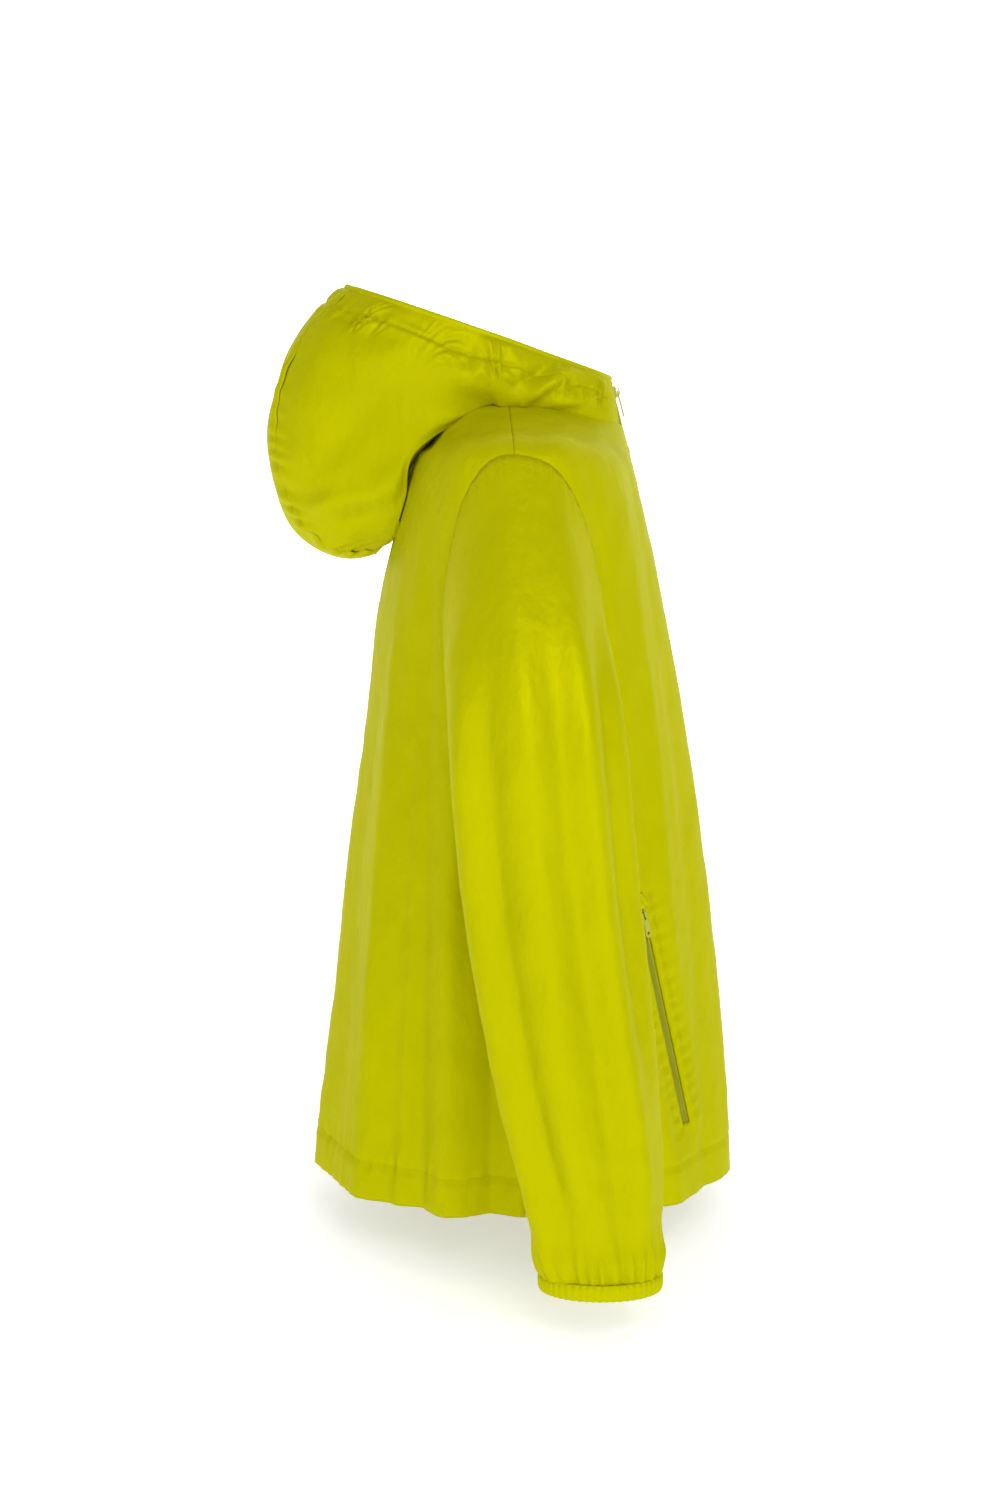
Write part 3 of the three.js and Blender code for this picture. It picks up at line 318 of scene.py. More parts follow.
def torso(u, v):
    """The body's surface. u: 0 left side, pi/2 back, pi right side, 3 pi/2 front. v: hem to neckline.

    With e = 2 / 2.3, S the side line and M the back or front line at v:
    x = S.x sgn(cos u) |cos u|^e, y = lerp(S.y, M.y, |sin u|^e), z = lerp(S.z, M.z, |sin u|^2e).
    """
    side = smooth_line(SIDE_LINE, v)
    back = smooth_line(BACK_LINE, v)
    front = smooth_line(FRONT_LINE, v)
    front[..., 1] = arc_depth(front[..., 2])
    middle = np.where((np.sin(u) > 0)[..., None], back, front)
    towards = np.abs(np.sin(u)) ** BODY_ROUND
    x = side[..., 0] * np.sign(np.cos(u)) * np.abs(np.cos(u)) ** BODY_ROUND
    y = side[..., 1] + (middle[..., 1] - side[..., 1]) * towards
    z = side[..., 2] + (middle[..., 2] - side[..., 2]) * towards**2
    return np.stack([x, y, z], -1)


def surface_normal(surface, u, v, inside):
    """Unit normals of surface(u, v): dP/du x dP/dv, turned away from the point or points inside."""
    step = 0.004
    along_u = surface(u + step, v) - surface(u - step, v)
    along_v = surface(u, v + step) - surface(u, v - step)
    normal = np.cross(along_u, along_v)
    normal /= np.linalg.norm(normal, axis=-1, keepdims=True)
    facing = np.sum(normal * (surface(u, v) - inside), axis=-1, keepdims=True)
    return normal * np.where(facing < 0, -1.0, 1.0)


def torso_inside(v):
    """A point inside the body, level with each row: lower towards the neck."""
    side = smooth_line(SIDE_LINE, v)
    side[..., 0] = 0
    side[..., 2] -= 0.06 * np.clip(v, 0, 1) ** 4
    return side


def on_torso(u, v, lift):
    """A point of the body moved out of the cloth by lift."""
    normal = surface_normal(torso, u, np.clip(v, 0, 0.995), torso_inside(v))
    return torso(u, v) + normal * np.asarray(lift)[..., None]


def smooth_step(x, low, high):
    """0 below low, 1 above high, 3 s^2 - 2 s^3 between."""
    s = np.clip((x - low) / (high - low), 0, 1)
    return s * s * (3 - 2 * s)


def ridge(x, centre, width):
    """A soft ridge of height 1: exp(-((x - centre) / width)^2)."""
    return np.exp(-(((x - centre) / width) ** 2))


def ripples(x, y, seed, wavelength, count=12):
    """Smooth irregular relief, about -1 to 1: a sum of sines of seeded random directions and phases."""
    rng = np.random.default_rng(seed)
    total = np.zeros(np.broadcast(x, y).shape)
    for _ in range(count):
        angle = rng.uniform(0, math.pi)
        size = wavelength * rng.uniform(0.6, 1.7)
        phase = rng.uniform(0, 2 * math.pi)
        total += np.sin(2 * math.pi * (x * math.cos(angle) + y * math.sin(angle)) / size + phase)
    return total / math.sqrt(count)


def armhole_spread(v):
    """Half the armhole's width in u: an ellipse in u and v between the armpit and the shoulder."""
    middle = (ARMPIT_ROW + SHOULDER_ROW) / 2
    half = (SHOULDER_ROW - ARMPIT_ROW) / 2
    share = np.clip((v - middle) / half, -1, 1)
    return ARMHOLE_SPREAD * np.sqrt(1 - share**2)


def row_at_height(z):
    """v of a height between the hem and the armpit."""
    return ARMPIT_ROW * (z - HEM_HEIGHT) / (ARMPIT_HEIGHT - HEM_HEIGHT)


# Long folds of the body: (round from the front or back middle in radians, lean per row, width, height).
FRONT_FOLDS = [
    (0.30, 0.05, 0.080, 0.0032),
    (0.58, 0.16, 0.065, -0.0042),
    (0.90, 0.30, 0.070, 0.0060),
    (1.20, 0.25, 0.065, -0.0095),
    (1.42, 0.10, 0.060, 0.0070),
]
BACK_FOLDS = [
    (0.18, 0.05, 0.080, 0.0030),
    (0.46, 0.12, 0.110, -0.0040),
    (0.76, 0.24, 0.075, 0.0062),
    (0.93, 0.10, 0.055, -0.0050),
    (1.10, 0.26, 0.060, -0.0085),
    (1.27, 0.16, 0.070, 0.0088),
    (1.45, 0.05, 0.050, -0.0090),
]
HEM_BAND = 0.031
HEM_PLEAT = 0.016


def body_relief(u, v):
    """How far the body's cloth stands out: folds that grow to the hem, crumple, and the hem's pleats."""
    in_front = np.sin(u) < 0
    round_front = np.abs(np.mod(u - FRONT + math.pi, 2 * math.pi) - math.pi)
    round_back = np.abs(np.mod(u - math.pi / 2 + math.pi, 2 * math.pi) - math.pi)
    grow = smooth_step(1 - v, 0.18, 0.95)
    relief = np.zeros(np.broadcast(u, v).shape)
    for folds, angle, half in ((FRONT_FOLDS, round_front, in_front), (BACK_FOLDS, round_back, ~in_front)):
        for centre, lean, width, height in folds:
            relief += half * height * ridge(angle, centre - lean * v, width * (1.25 - 0.5 * v))
    relief *= grow
    edge = smooth_step(1 - v, 0.03, 0.2)
    relief += 0.0009 * edge * ripples(u * 0.2, v * 0.30, 3, 0.090)
    relief += 0.00025 * edge * ripples(u * 0.2, v * 0.7, 5, 0.035, 16)
    up = v / ARMPIT_ROW * (ARMPIT_HEIGHT - HEM_HEIGHT)
    along = u * 0.2
    pull = 0.35 + 0.65 * (np.sin(u) > 0)
    pleats = np.sin(2 * math.pi * along / HEM_PLEAT + 1.5 * ripples(along, up * 0, 8, 0.05))
    band = ridge(up, HEM_BAND, 0.011) + 0.45 * ridge(up, 0.002, 0.008)
    relief += 0.0011 * pull * pleats * band
    relief -= 0.0016 * ridge(up, HEM_BAND, 0.0022)
    return relief


def sheet_object(name, outer, inner, closed=False, drop=None):
    """A closed sheet between its outer and inner face, each a (rows, columns, 3) grid of points.

    closed joins the last column to the first. drop is a (rows - 1, columns - 1) mask of quads left out.
    The UVs "cloth" run in metres along the rows and columns.
    """
    rows, columns = outer.shape[:2]
    count = rows * columns
    spans = columns if closed else columns - 1
    keep = np.ones((rows - 1, spans), bool) if drop is None else ~drop
    row, column = np.nonzero(keep)
    right = (column + 1) % columns
    quads = np.stack([row * columns + column, row * columns + right,
                      (row + 1) * columns + right, (row + 1) * columns + column], -1)
    steps_u = np.linalg.norm(np.diff(outer, axis=1), axis=-1).mean(0)
    steps_v = np.linalg.norm(np.diff(outer, axis=0), axis=-1).mean(1)
    place_u = np.concatenate([[0], np.cumsum(steps_u), [steps_u.sum() + steps_u.mean()]])
    place_v = np.concatenate([[0], np.cumsum(steps_v)])
    uv_u = np.stack([place_u[column], place_u[column + 1], place_u[column + 1], place_u[column]], -1)
    uv_v = np.stack([place_v[row], place_v[row], place_v[row + 1], place_v[row + 1]], -1)
    sides = np.concatenate([quads[:, [i, (i + 1) % 4]] for i in range(4)])
    side_uv = np.concatenate([
        np.stack([uv_u[:, i], uv_v[:, i], uv_u[:, (i + 1) % 4], uv_v[:, (i + 1) % 4]], -1)
        for i in range(4)
    ])
    keys = np.sort(sides, axis=1)
    codes = keys[:, 0] * count + keys[:, 1]
    _, first, uses = np.unique(codes, return_index=True, return_counts=True)
    rim = first[uses == 1]
    walls = np.stack([sides[rim, 1], sides[rim, 0], sides[rim, 0] + count, sides[rim, 1] + count], -1)
    wall_uv = side_uv[rim]
    wall_uv = np.stack([wall_uv[:, 2:], wall_uv[:, :2], wall_uv[:, :2], wall_uv[:, 2:]], 1)
    faces = np.concatenate([quads, quads[:, ::-1] + count, walls])
    face_uv = np.stack([uv_u, uv_v], -1)
    all_uv = np.concatenate([face_uv, face_uv[:, ::-1], wall_uv])
    points = np.concatenate([outer.reshape(-1, 3), inner.reshape(-1, 3)])
    used = np.unique(faces)
    renumber = np.zeros(len(points), int)
    renumber[used] = np.arange(len(used))
    points = points[used]
    faces = renumber[faces]
    corners = points[faces]
    across = np.cross(corners[:, 2] - corners[:, 0], corners[:, 3] - corners[:, 1])
    if np.sum(across * corners.mean(1)) < 0:
        faces = faces[:, ::-1]
        all_uv = all_uv[:, ::-1]
    obj = new_object(name, points, faces)
    layer = obj.data.uv_layers.new(name="cloth")
    layer.data.foreach_set("uv", np.ascontiguousarray(all_uv).reshape(-1).astype(np.float32))
    return obj


def body_sheet(name, u, v, lift=0.0, wall=CLOTH, drop=None):
    """A patch of the draped body, over grids u and v, standing lift out of it."""
    relief = body_relief(u, v) + lift
    return sheet_object(name, on_torso(u, v, relief), on_torso(u, v, relief - wall), drop=drop)


POCKET_BASE = np.array((-0.160794, -0.169788, -0.496081))
POCKET_ACROSS = np.array((0.696544, -0.664869, 0.269770))
POCKET_UP = np.array((-0.168461, 0.213930, 0.962213))
POCKET_OUT = np.array((-0.697457, -0.715670, 0.037007))
POCKET_LENGTH = 0.195383
POCKET_HALF_SLOT = 0.0042
POCKET_TOP = row_at_height(-0.402)
POCKET_BOTTOM = row_at_height(-0.590)
SEAM_ANGLE = 0.0004
ZIP_OPENING = 0.0050


def in_pocket(points):
    """x across, y up and z out of the right hand pocket's zip, for points of the body."""
    place = points - POCKET_BASE
    return place @ POCKET_ACROSS, place @ POCKET_UP, place @ POCKET_OUT


def pocket_lift(points):
    """The cloth dips to the pocket's zip, with a puckered welt along each side of the opening."""
    x, y, z = in_pocket(points)
    beyond = np.abs(y) - POCKET_LENGTH / 2
    reach = 1 - smooth_step(beyond, 0.0, 0.024)
    dip = (1 - smooth_step(np.abs(x), 0.008, 0.030)) * reach
    pucker = np.sin(2 * math.pi * y / 0.0125 + 1.2 * ripples(y, y * 0, 21, 0.05) + 1.5 * np.sign(x))
    welt = ridge(np.abs(x), 0.0095, 0.0028) * (0.0016 + 0.0005 * pucker)
    gather = 0.0009 * pucker * ridge(np.abs(x), 0.015, 0.007)
    roll = -0.0006 * ridge(np.abs(x), POCKET_HALF_SLOT, 0.0012)
    near = 1 - smooth_step(np.abs(x), 0.03, 0.05)
    return -dip * (z - 0.0002) + near * reach * (welt + gather + roll)


def panel_rows(breaks):
    """Rows of a panel: even between the breaks up to the armpit, close together round the armhole."""
    rows = [np.linspace(a, b, max(2, int((b - a) / ARMPIT_ROW * 120)), endpoint=False)
            for a, b in zip(breaks[:-1], breaks[1:])]
    turn = np.linspace(0, math.pi, 56)
    rows.append(ARMPIT_ROW + (SHOULDER_ROW - ARMPIT_ROW) * (1 - np.cos(turn)) / 2)
    rows.append(np.linspace(SHOULDER_ROW, 1, 30)[1:])
    return np.concatenate(rows)


back_v = panel_rows([0, ARMPIT_ROW])
edge = armhole_spread(back_v) + SEAM_ANGLE
share = np.linspace(0, 1, 190)
back_u = edge[:, None] + (math.pi - 2 * edge)[:, None] * share
back_panel = body_sheet("back_panel_cloth", back_u, np.broadcast_to(back_v[:, None], back_u.shape))

front_v = panel_rows([0, POCKET_BOTTOM, POCKET_TOP, ARMPIT_ROW])


def front_limits(v):
    """u of the side edge and of the zip edge of the right front panel in each row."""
    half_width = np.abs(smooth_line(SIDE_LINE, v)[..., 0])
    low = SIDE + armhole_spread(v) + SEAM_ANGLE
    high = FRONT - np.arcsin((ZIP_OPENING / half_width) ** (1 / BODY_ROUND))
    return low, high


def slot_round(offset, v):
    """u at which the body crosses the line offset to the side of the pocket's zip, by secant steps."""
    u = SIDE + 0.826 + (0.584 - 0.826) * (v - POCKET_BOTTOM) / (POCKET_TOP - POCKET_BOTTOM)
    for _ in range(6):
        here = in_pocket(torso(u, v))[0] - offset
        ahead = in_pocket(torso(u + 0.01, v))[0] - offset
        u = u - here * 0.01 / (ahead - here)
    return u


pocket_v = np.linspace(POCKET_BOTTOM, POCKET_TOP, 40)
low, high = front_limits(pocket_v)
slot_shares = []
for offset in (-POCKET_HALF_SLOT, POCKET_HALF_SLOT):
    in_slot = (slot_round(offset, pocket_v) - low) / (high - low)
    slot_shares.append(np.interp(front_v, pocket_v, in_slot))
side_columns, slot_columns, front_columns = 42, 4, 62
low, high = front_limits(front_v)
share = np.concatenate([
    slot_shares[0][:, None] * np.linspace(0, 1, side_columns, endpoint=False),
    slot_shares[0][:, None]
    + (slot_shares[1] - slot_shares[0])[:, None] * np.linspace(0, 1, slot_columns, endpoint=False),
    slot_shares[1][:, None] + (1 - slot_shares[1])[:, None] * np.linspace(0, 1, front_columns),
], axis=1)
front_u = low[:, None] + (high - low)[:, None] * share
front_grid_v = np.broadcast_to(front_v[:, None], front_u.shape)
front_lift = pocket_lift(torso(front_u, front_grid_v))
front_base = body_relief(front_u, front_grid_v)
x_local, y_local, _ = in_pocket(torso(front_u, front_grid_v))
calm = 1 - (1 - smooth_step(np.abs(x_local), 0.008, 0.04)) * (
    1 - smooth_step(np.abs(y_local) - POCKET_LENGTH / 2, 0, 0.03))
front_relief = front_base * calm + front_lift
in_rows = (front_v[:-1] >= POCKET_BOTTOM - 1e-9) & (front_v[1:] <= POCKET_TOP + 1e-9)
in_columns = (np.arange(front_u.shape[1] - 1) >= side_columns) & (
    np.arange(front_u.shape[1] - 1) < side_columns + slot_columns)
slot_quads = in_rows[:, None] & in_columns[None, :]
front_outer = on_torso(front_u, front_grid_v, front_relief)
front_inner = on_torso(front_u, front_grid_v, front_relief - CLOTH)
MIRROR = np.array((-1, 1, 1))
front_right = sheet_object("front_panel_right_cloth", front_outer, front_inner, drop=slot_quads)
front_left = sheet_object("front_panel_left_cloth", front_outer * MIRROR, front_inner * MIRROR,
                          drop=slot_quads)


def dress(obj, body, material, slot, *nodes):
    """Gives a piece its material and body, and hides the CAD nodes it stands for. slot is not used."""
    obj.data.materials.append(material)
    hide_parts(*nodes)
    if body is not None:
        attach(obj, body)


dress(back_panel, "shell", shell_cloth, "shell_fabric", "back_panel")
dress(front_right, "shell", shell_cloth, "shell_fabric", "front_panel_right")
dress(front_left, "shell", shell_cloth, "shell_fabric", "front_panel_left")


# ---- Sleeves --------------------------------------------------------------------------------------
# Each sleeve is one tube of shell cloth, set into the armhole and bound with elastic at the cuff.
# It hangs in long soft folds and gathers just above the cuff.

# Centre, half sizes across X and Y, and how much the outer side is raised, down the right sleeve.
SLEEVE_RINGS = [
    ((-0.280, -0.060, -0.232), 0.056, 0.065, 0.038),
    ((-0.297, -0.072, -0.375), 0.057, 0.066, 0.006),
    ((-0.314, -0.090, -0.500), 0.052, 0.061, 0.0),
    ((-0.325, -0.104, -0.582), 0.044, 0.054, 0.0),
    ((-0.333, -0.112, -0.653), 0.031, 0.045, 0.0),
]
SLEEVE_LAP = 0.0013


def ring_points(ring, turn):
    """A ring of the sleeve: c - (a cos, b sin, -h cos) of turn, which is 0 outside and grows forward."""
    (x, y, z), across_x, across_y, raised = ring
    return np.stack([x - across_x * np.cos(turn), y - across_y * np.sin(turn),
                     z + raised * np.cos(turn)], -1)


def sleeve_head(turn):
    """The sleeve's top edge, over the armhole's ellipse in u and v."""
    v = (ARMPIT_ROW + SHOULDER_ROW) / 2 + (SHOULDER_ROW - ARMPIT_ROW) / 2 * np.cos(turn)
    u = SIDE + ARMHOLE_SPREAD * np.sin(turn)
    return on_torso(u, v, body_relief(u, v) + SLEEVE_LAP)


# Long folds of the sleeve: turn at the head and at the cuff in degrees, width, height, start and end.
SLEEVE_FOLDS = [
    (-62, -50, 15, 0.0074, 0.10, 1.00),
    (-34, -30, 11, -0.0068, 0.12, 0.95),
    (-12, -8, 13, 0.0061, 0.05, 0.80),
    (12, 22, 11, -0.0061, 0.10, 0.98),
    (30, 48, 11, 0.0068, 0.02, 0.90),
    (52, 86, 11, -0.0078, 0.02, 0.62),
    (74, 112, 13, 0.0050, 0.04, 0.95),
    (120, 132, 13, -0.0074, 0.05, 0.95),
    (160, 170, 14, 0.0054, 0.08, 0.90),
    (-100, -96, 12, -0.0081, 0.10, 0.95),
    (-136, -140, 13, 0.0074, 0.05, 0.90),
]
CUFF_GATHER_COUNT = 26


def sleeve_relief(turn, t):
    """Folds along the sleeve, soft crumple, and the gathers above the cuff."""
    relief = np.zeros(np.broadcast(turn, t).shape)
    for head, cuff, width, height, start, end in SLEEVE_FOLDS:
        centre = np.radians(head + (cuff - head) * t + 2.5 * np.sin(4 * t + head))
        away = np.mod(turn - centre + math.pi, 2 * math.pi) - math.pi
        length = smooth_step(t, start, start + 0.22) * (1 - smooth_step(t, end - 0.18, end + 0.08))
        relief += height * length * ridge(away, 0, np.radians(width))
    calm = smooth_step(t, 0.0, 0.06)
    relief += 0.0011 * calm * ripples(np.cos(turn) * 0.07, t * 0.30 + np.sin(turn) * 0.07, 31, 0.12)
    relief += 0.0003 * calm * ripples(turn * 0.06, t * 0.7, 33, 0.040, 16) * (1 - ridge(t, 1, 0.03))
    phase = CUFF_GATHER_COUNT * turn + 1.6 * np.sin(3 * turn) + 1.1 * np.sin(7 * turn + 1)
    gather = smooth_step(t, 0.88, 0.985) * (1 - 0.75 * smooth_step(t, 0.985, 1.0))
    relief += 0.0018 * gather * np.sin(phase)
    relief += 0.0022 * ridge(t, 0.955, 0.03)
    cap = ridge(t, 0.012, 0.012) * 0.0008 * np.sin(44 * turn + 2 * np.sin(5 * turn))
    return relief + cap - 0.0008 * ridge(t, 0.0, 0.006)


def grid_normals(points, inside):
    """Unit normals of a grid of points, dP/drow x dP/dcolumn, turned away from the point(s) inside."""
    along_rows = np.gradient(points, axis=0)
    along_columns = np.gradient(points, axis=1)
    normal = np.cross(along_rows, along_columns)
    normal /= np.linalg.norm(normal, axis=-1, keepdims=True) + 1e-12
    facing = np.sum(normal * (points - inside), axis=-1, keepdims=True)
    return normal * np.where(facing < 0, -1.0, 1.0)


def sleeve_surface(turn, t):
    """The sleeve without folds: Catmull-Rom curves down through the head and the rings."""
    rings = np.stack([sleeve_head(turn)] + [ring_points(ring, turn) for ring in SLEEVE_RINGS])
    return smooth_line(rings, t)


SLEEVE_COLUMNS = 168
turn = np.arange(SLEEVE_COLUMNS) * 2 * math.pi / SLEEVE_COLUMNS
down = np.concatenate([np.linspace(0, 0.86, 128, endpoint=False), np.linspace(0.86, 1, 44)])
t_grid = np.broadcast_to(down[:, None], (len(down), SLEEVE_COLUMNS))
turn_grid = np.broadcast_to(turn, t_grid.shape)
sleeve_base = sleeve_surface(turn, t_grid)
sleeve_axis = sleeve_base.mean(axis=1, keepdims=True)
wrapped = np.concatenate([sleeve_base[:, -2:], sleeve_base, sleeve_base[:, :2]], axis=1)
sleeve_normal = grid_normals(wrapped, sleeve_axis)[:, 2:-2]
relief = sleeve_relief(turn_grid, t_grid)[..., None]
sleeve_outer = sleeve_base + sleeve_normal * relief
sleeve_inner = sleeve_base + sleeve_normal * (relief - CLOTH)
SLEEVE_BEND = ((-0.2675, 0.0, -0.1445), (-0.352, 0.0, -0.190))

for side_name, mirror in (("right", np.ones(3)), ("left", MIRROR)):
    sleeve = sheet_object(f"sleeve_{side_name}_cloth", sleeve_outer * mirror, sleeve_inner * mirror,
                          closed=True)
    dress(sleeve, None, shell_cloth, "shell_fabric", f"sleeve_{side_name}")
    start, end = (tuple(np.array(point) * mirror) for point in SLEEVE_BEND)
    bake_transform(sleeve)


# ---- Cuff bindings --------------------------------------------------------------------------------
# Each cuff is bound with a narrow folded strip of the shell cloth over a flat elastic.
# It is drawn in, so the strip is finely ribbed round the wrist.

CUFF_CENTRE = np.array((-0.333, -0.112, -0.653))
CUFF_HALF = np.array((0.031, 0.045))


def cuff_band(turn, profile, ribs):
    """A closed band round the cuff: profile lists (out, up) points of its section, ribs its relief."""
    out, up = np.array(profile).T
    size = CUFF_HALF + out[:, None, None] + (ribs * np.sign(out - out.mean())[:, None])[..., None]
    x = CUFF_CENTRE[0] - size[..., 0] * np.cos(turn)
    y = CUFF_CENTRE[1] - size[..., 1] * np.sin(turn)
    z = np.broadcast_to(CUFF_CENTRE[2] + up[:, None], x.shape)
    return np.stack([x, y, z], -1)


def tube_object(name, rings, ends_closed=False):
    """A closed surface through rings of points (rings, around, 3): joined round, and end to end.

    With ends_closed the two ends are capped instead of joined to each other.
    """
    count, around = rings.shape[:2]
    corner = np.arange(count * around).reshape(count, around)
    after = np.roll(corner, -1, axis=1)
    if ends_closed:
        quads = np.stack([corner[:-1], after[:-1], after[1:], corner[1:]], -1).reshape(-1, 4)
    else:
        ahead = np.roll(corner, -1, axis=0)
        quads = np.stack([corner, after, np.roll(after, -1, axis=0), ahead], -1).reshape(-1, 4)
    points = rings.reshape(-1, 3)
    corners = points[quads]
    turned = np.cross(corners[:, 2] - corners[:, 0], corners[:, 3] - corners[:, 1])
    centre = rings.mean(axis=1, keepdims=True)
    outward = (rings - centre).reshape(-1, 3)[quads].mean(1)
    flip = np.sum(turned * outward) < 0
    if flip:
        quads = quads[:, ::-1]
    obj = new_object(name, points, quads)
    if ends_closed:
        caps = [corner[0], corner[-1]]
        mesh = obj.data
        faces = [list(f) for f in quads.tolist()]
        first, last = (list(map(int, cap)) for cap in caps)
        faces.append(first[::-1] if not flip else first)
        faces.append(last if not flip else last[::-1])
        mesh.clear_geometry()
        mesh.from_pydata(points.tolist(), [], faces)
        mesh.shade_smooth()
    along = np.arange(count)[:, None] * np.linalg.norm(rings[1, 0] - rings[0, 0])
    round_at = np.arange(around)[None, :] * np.linalg.norm(rings[0, 1] - rings[0, 0])
    flat = np.stack(np.broadcast_arrays(along, round_at), -1).reshape(-1, 2)
    layer = obj.data.uv_layers.new(name="cloth")
    index = np.empty(len(obj.data.loops), int)
    obj.data.loops.foreach_get("vertex_index", index)
    layer.data.foreach_set("uv", flat[index].reshape(-1).astype(np.float32))
    return obj


cuff_turn = np.arange(288) * 2 * math.pi / 288
ribs = 0.00045 * np.sin(52 * cuff_turn + 0.8 * np.sin(5 * cuff_turn))
BINDING_PROFILE = [(0.0008, 0.0011), (0.0020, 0.0003), (0.0023, -0.0030), (0.0021, -0.0080),
                   (0.0012, -0.0112), (0.0, -0.0121), (-0.0012, -0.0112), (-0.0019, -0.0080),
                   (-0.0019, -0.0025), (-0.0012, 0.0002)]
ELASTIC_PROFILE = [(-0.0023, -0.0015), (-0.0023, -0.0095), (-0.0030, -0.0095), (-0.0030, -0.0015)]

elastic_material, nodes, links, shader = node_material("knitted_elastic", (0.66, 0.67, 0.32), 0.85)
bump_chain(nodes, links, shader, [(weave_height(nodes, links, 0.0012), 0.5, 0.0002)])
tone_noise = noise_node(nodes, links, 60.0, 2.0)
tone_ramp = nodes.new("ShaderNodeMix")
tone_ramp.data_type = "RGBA"
tone_ramp.inputs[6].default_value = (0.66, 0.67, 0.32, 1)
tone_ramp.inputs[7].default_value = (0.56, 0.57, 0.25, 1)
links.new(tone_noise.outputs["Fac"], tone_ramp.inputs[0])
links.new(tone_ramp.outputs[2], shader.inputs["Base Color"])

for side_name, mirror in (("right", np.ones(3)), ("left", MIRROR)):
    rings = cuff_band(cuff_turn, BINDING_PROFILE, ribs[None, :]) * mirror
    binding = tube_object(f"cuff_binding_{side_name}_cloth", rings)
    dress(binding, f"sleeve_{side_name}", trim_cloth, "binding_fabric", f"cuff_binding_{side_name}")
    rings = cuff_band(cuff_turn, ELASTIC_PROFILE, ribs[None, :] * 0.5) * mirror
    elastic = tube_object(f"cuff_elastic_{side_name}_band", rings)
    dress(elastic, f"sleeve_{side_name}", elastic_material, "elastic", f"cuff_elastic_{side_name}")


# ---- Hood -----------------------------------------------------------------------------------------
# The hood is cut from two sides and a centre strip, sewn with a gathered seam, and lies folded back.
# Its front edges run down into the collar; an elastic in a sewn channel puckers the rim.

HINGE_DEPTH = -0.043
RIM_SLOPE = math.radians(18.9)
RIM_DISTANCE = 0.0475
HOOD_HALF_WIDTH = 0.106
HOOD_SQUARENESS = 2.6
STRIP_HALF_WIDTH = 0.044
BOTTOM_ANGLE = math.radians(-48.6)


def hood_reach(angle):
    """Distance from the hinge line to the hood's outline, in the direction angle above +Y."""
    above = np.clip((angle + math.radians(24)) / math.radians(59), 0, None)
    below = np.clip((-math.radians(24) - angle) / math.radians(24), 0, 1)
    return 0.211 - 0.043 * above**1.6 - 0.040 * below**3


def rim_angle(radius):
    """Direction of the rim's plane at a distance from the hinge line."""
    return RIM_SLOPE + np.arcsin(np.clip(RIM_DISTANCE / radius, -1, 1))


def underside_angle(radius):
    """Direction of the underside, which lies on the back, at a distance from the hinge line."""
    share = (0.190 - np.minimum(radius, 0.190)) / 0.130
    return np.radians(-48.6 + 32 * share**2)


def edge_drop(radius):
    """How far the side panels' lower edges hang below the underside, where they lie over the back."""
    return math.radians(4.6) * smooth_step(radius, 0.086, 0.108) * (1 - smooth_step(radius, 0.146, 0.164))


def share_at_width(half_width):
    """Share of the reach at which the hood is half_width from the middle: (1 - (w / W)^n)^(1 / n)."""
    return (1 - (np.abs(half_width) / HOOD_HALF_WIDTH) ** HOOD_SQUARENESS) ** (1 / HOOD_SQUARENESS)


def width_at_share(share):
    """The reverse: how far the hood's surface is from the middle at a share of its reach."""
    return HOOD_HALF_WIDTH * (1 - np.minimum(share, 1) ** HOOD_SQUARENESS) ** (1 / HOOD_SQUARENESS)


def from_hinge(across, radius, angle):
    """(x, y, z) of a point at radius and angle about the hinge line, across to the side."""
    return np.stack(np.broadcast_arrays(
        across, HINGE_DEPTH + radius * np.cos(angle), radius * np.sin(angle)), -1)


def fan_line(share, count=9):
    """One line of the right side panel, from the rim round to the underside, share out to the seam."""
    k = np.linspace(0, 1, count)
    angle = np.zeros(count)
    radius = np.full(count, 0.2)
    for _ in range(10):
        radius = 0.084 + (share_at_width(STRIP_HALF_WIDTH) * hood_reach(angle) - 0.084) * share
        foot_angle = underside_angle(radius) - edge_drop(radius)
        angle = rim_angle(radius) + (foot_angle - rim_angle(radius)) * k
    return from_hinge(-width_at_share(radius / hood_reach(angle)), radius, angle)


def rim_height(y):
    """Height of the rim's plane at a depth y."""
    return (RIM_DISTANCE + (y - HINGE_DEPTH) * math.sin(RIM_SLOPE)) / math.cos(RIM_SLOPE)


def neck_line(u, rim, bulge, belly, count=9):
    """One line of the side panel in front of the hinge, from the rim point down to the neckline at u.

    It leans out by bulge times sin(pi k), and its fullest part is drawn towards the foot by belly.
    """
    k = np.linspace(0, 1, count)[:, None]
    foot = on_torso(np.array(u), np.array(0.972), np.array(-0.0022))
    out = np.array((foot[0], foot[1] - HINGE_DEPTH, 0))
    out = out / np.linalg.norm(out)
    rim = np.array(rim)
    line = rim + (foot - rim) * k**belly
    return line + out * bulge * np.sin(math.pi * k)


def rim_point(x, y):
    """A point of the rim, on its plane."""
    return (x, y, rim_height(y))


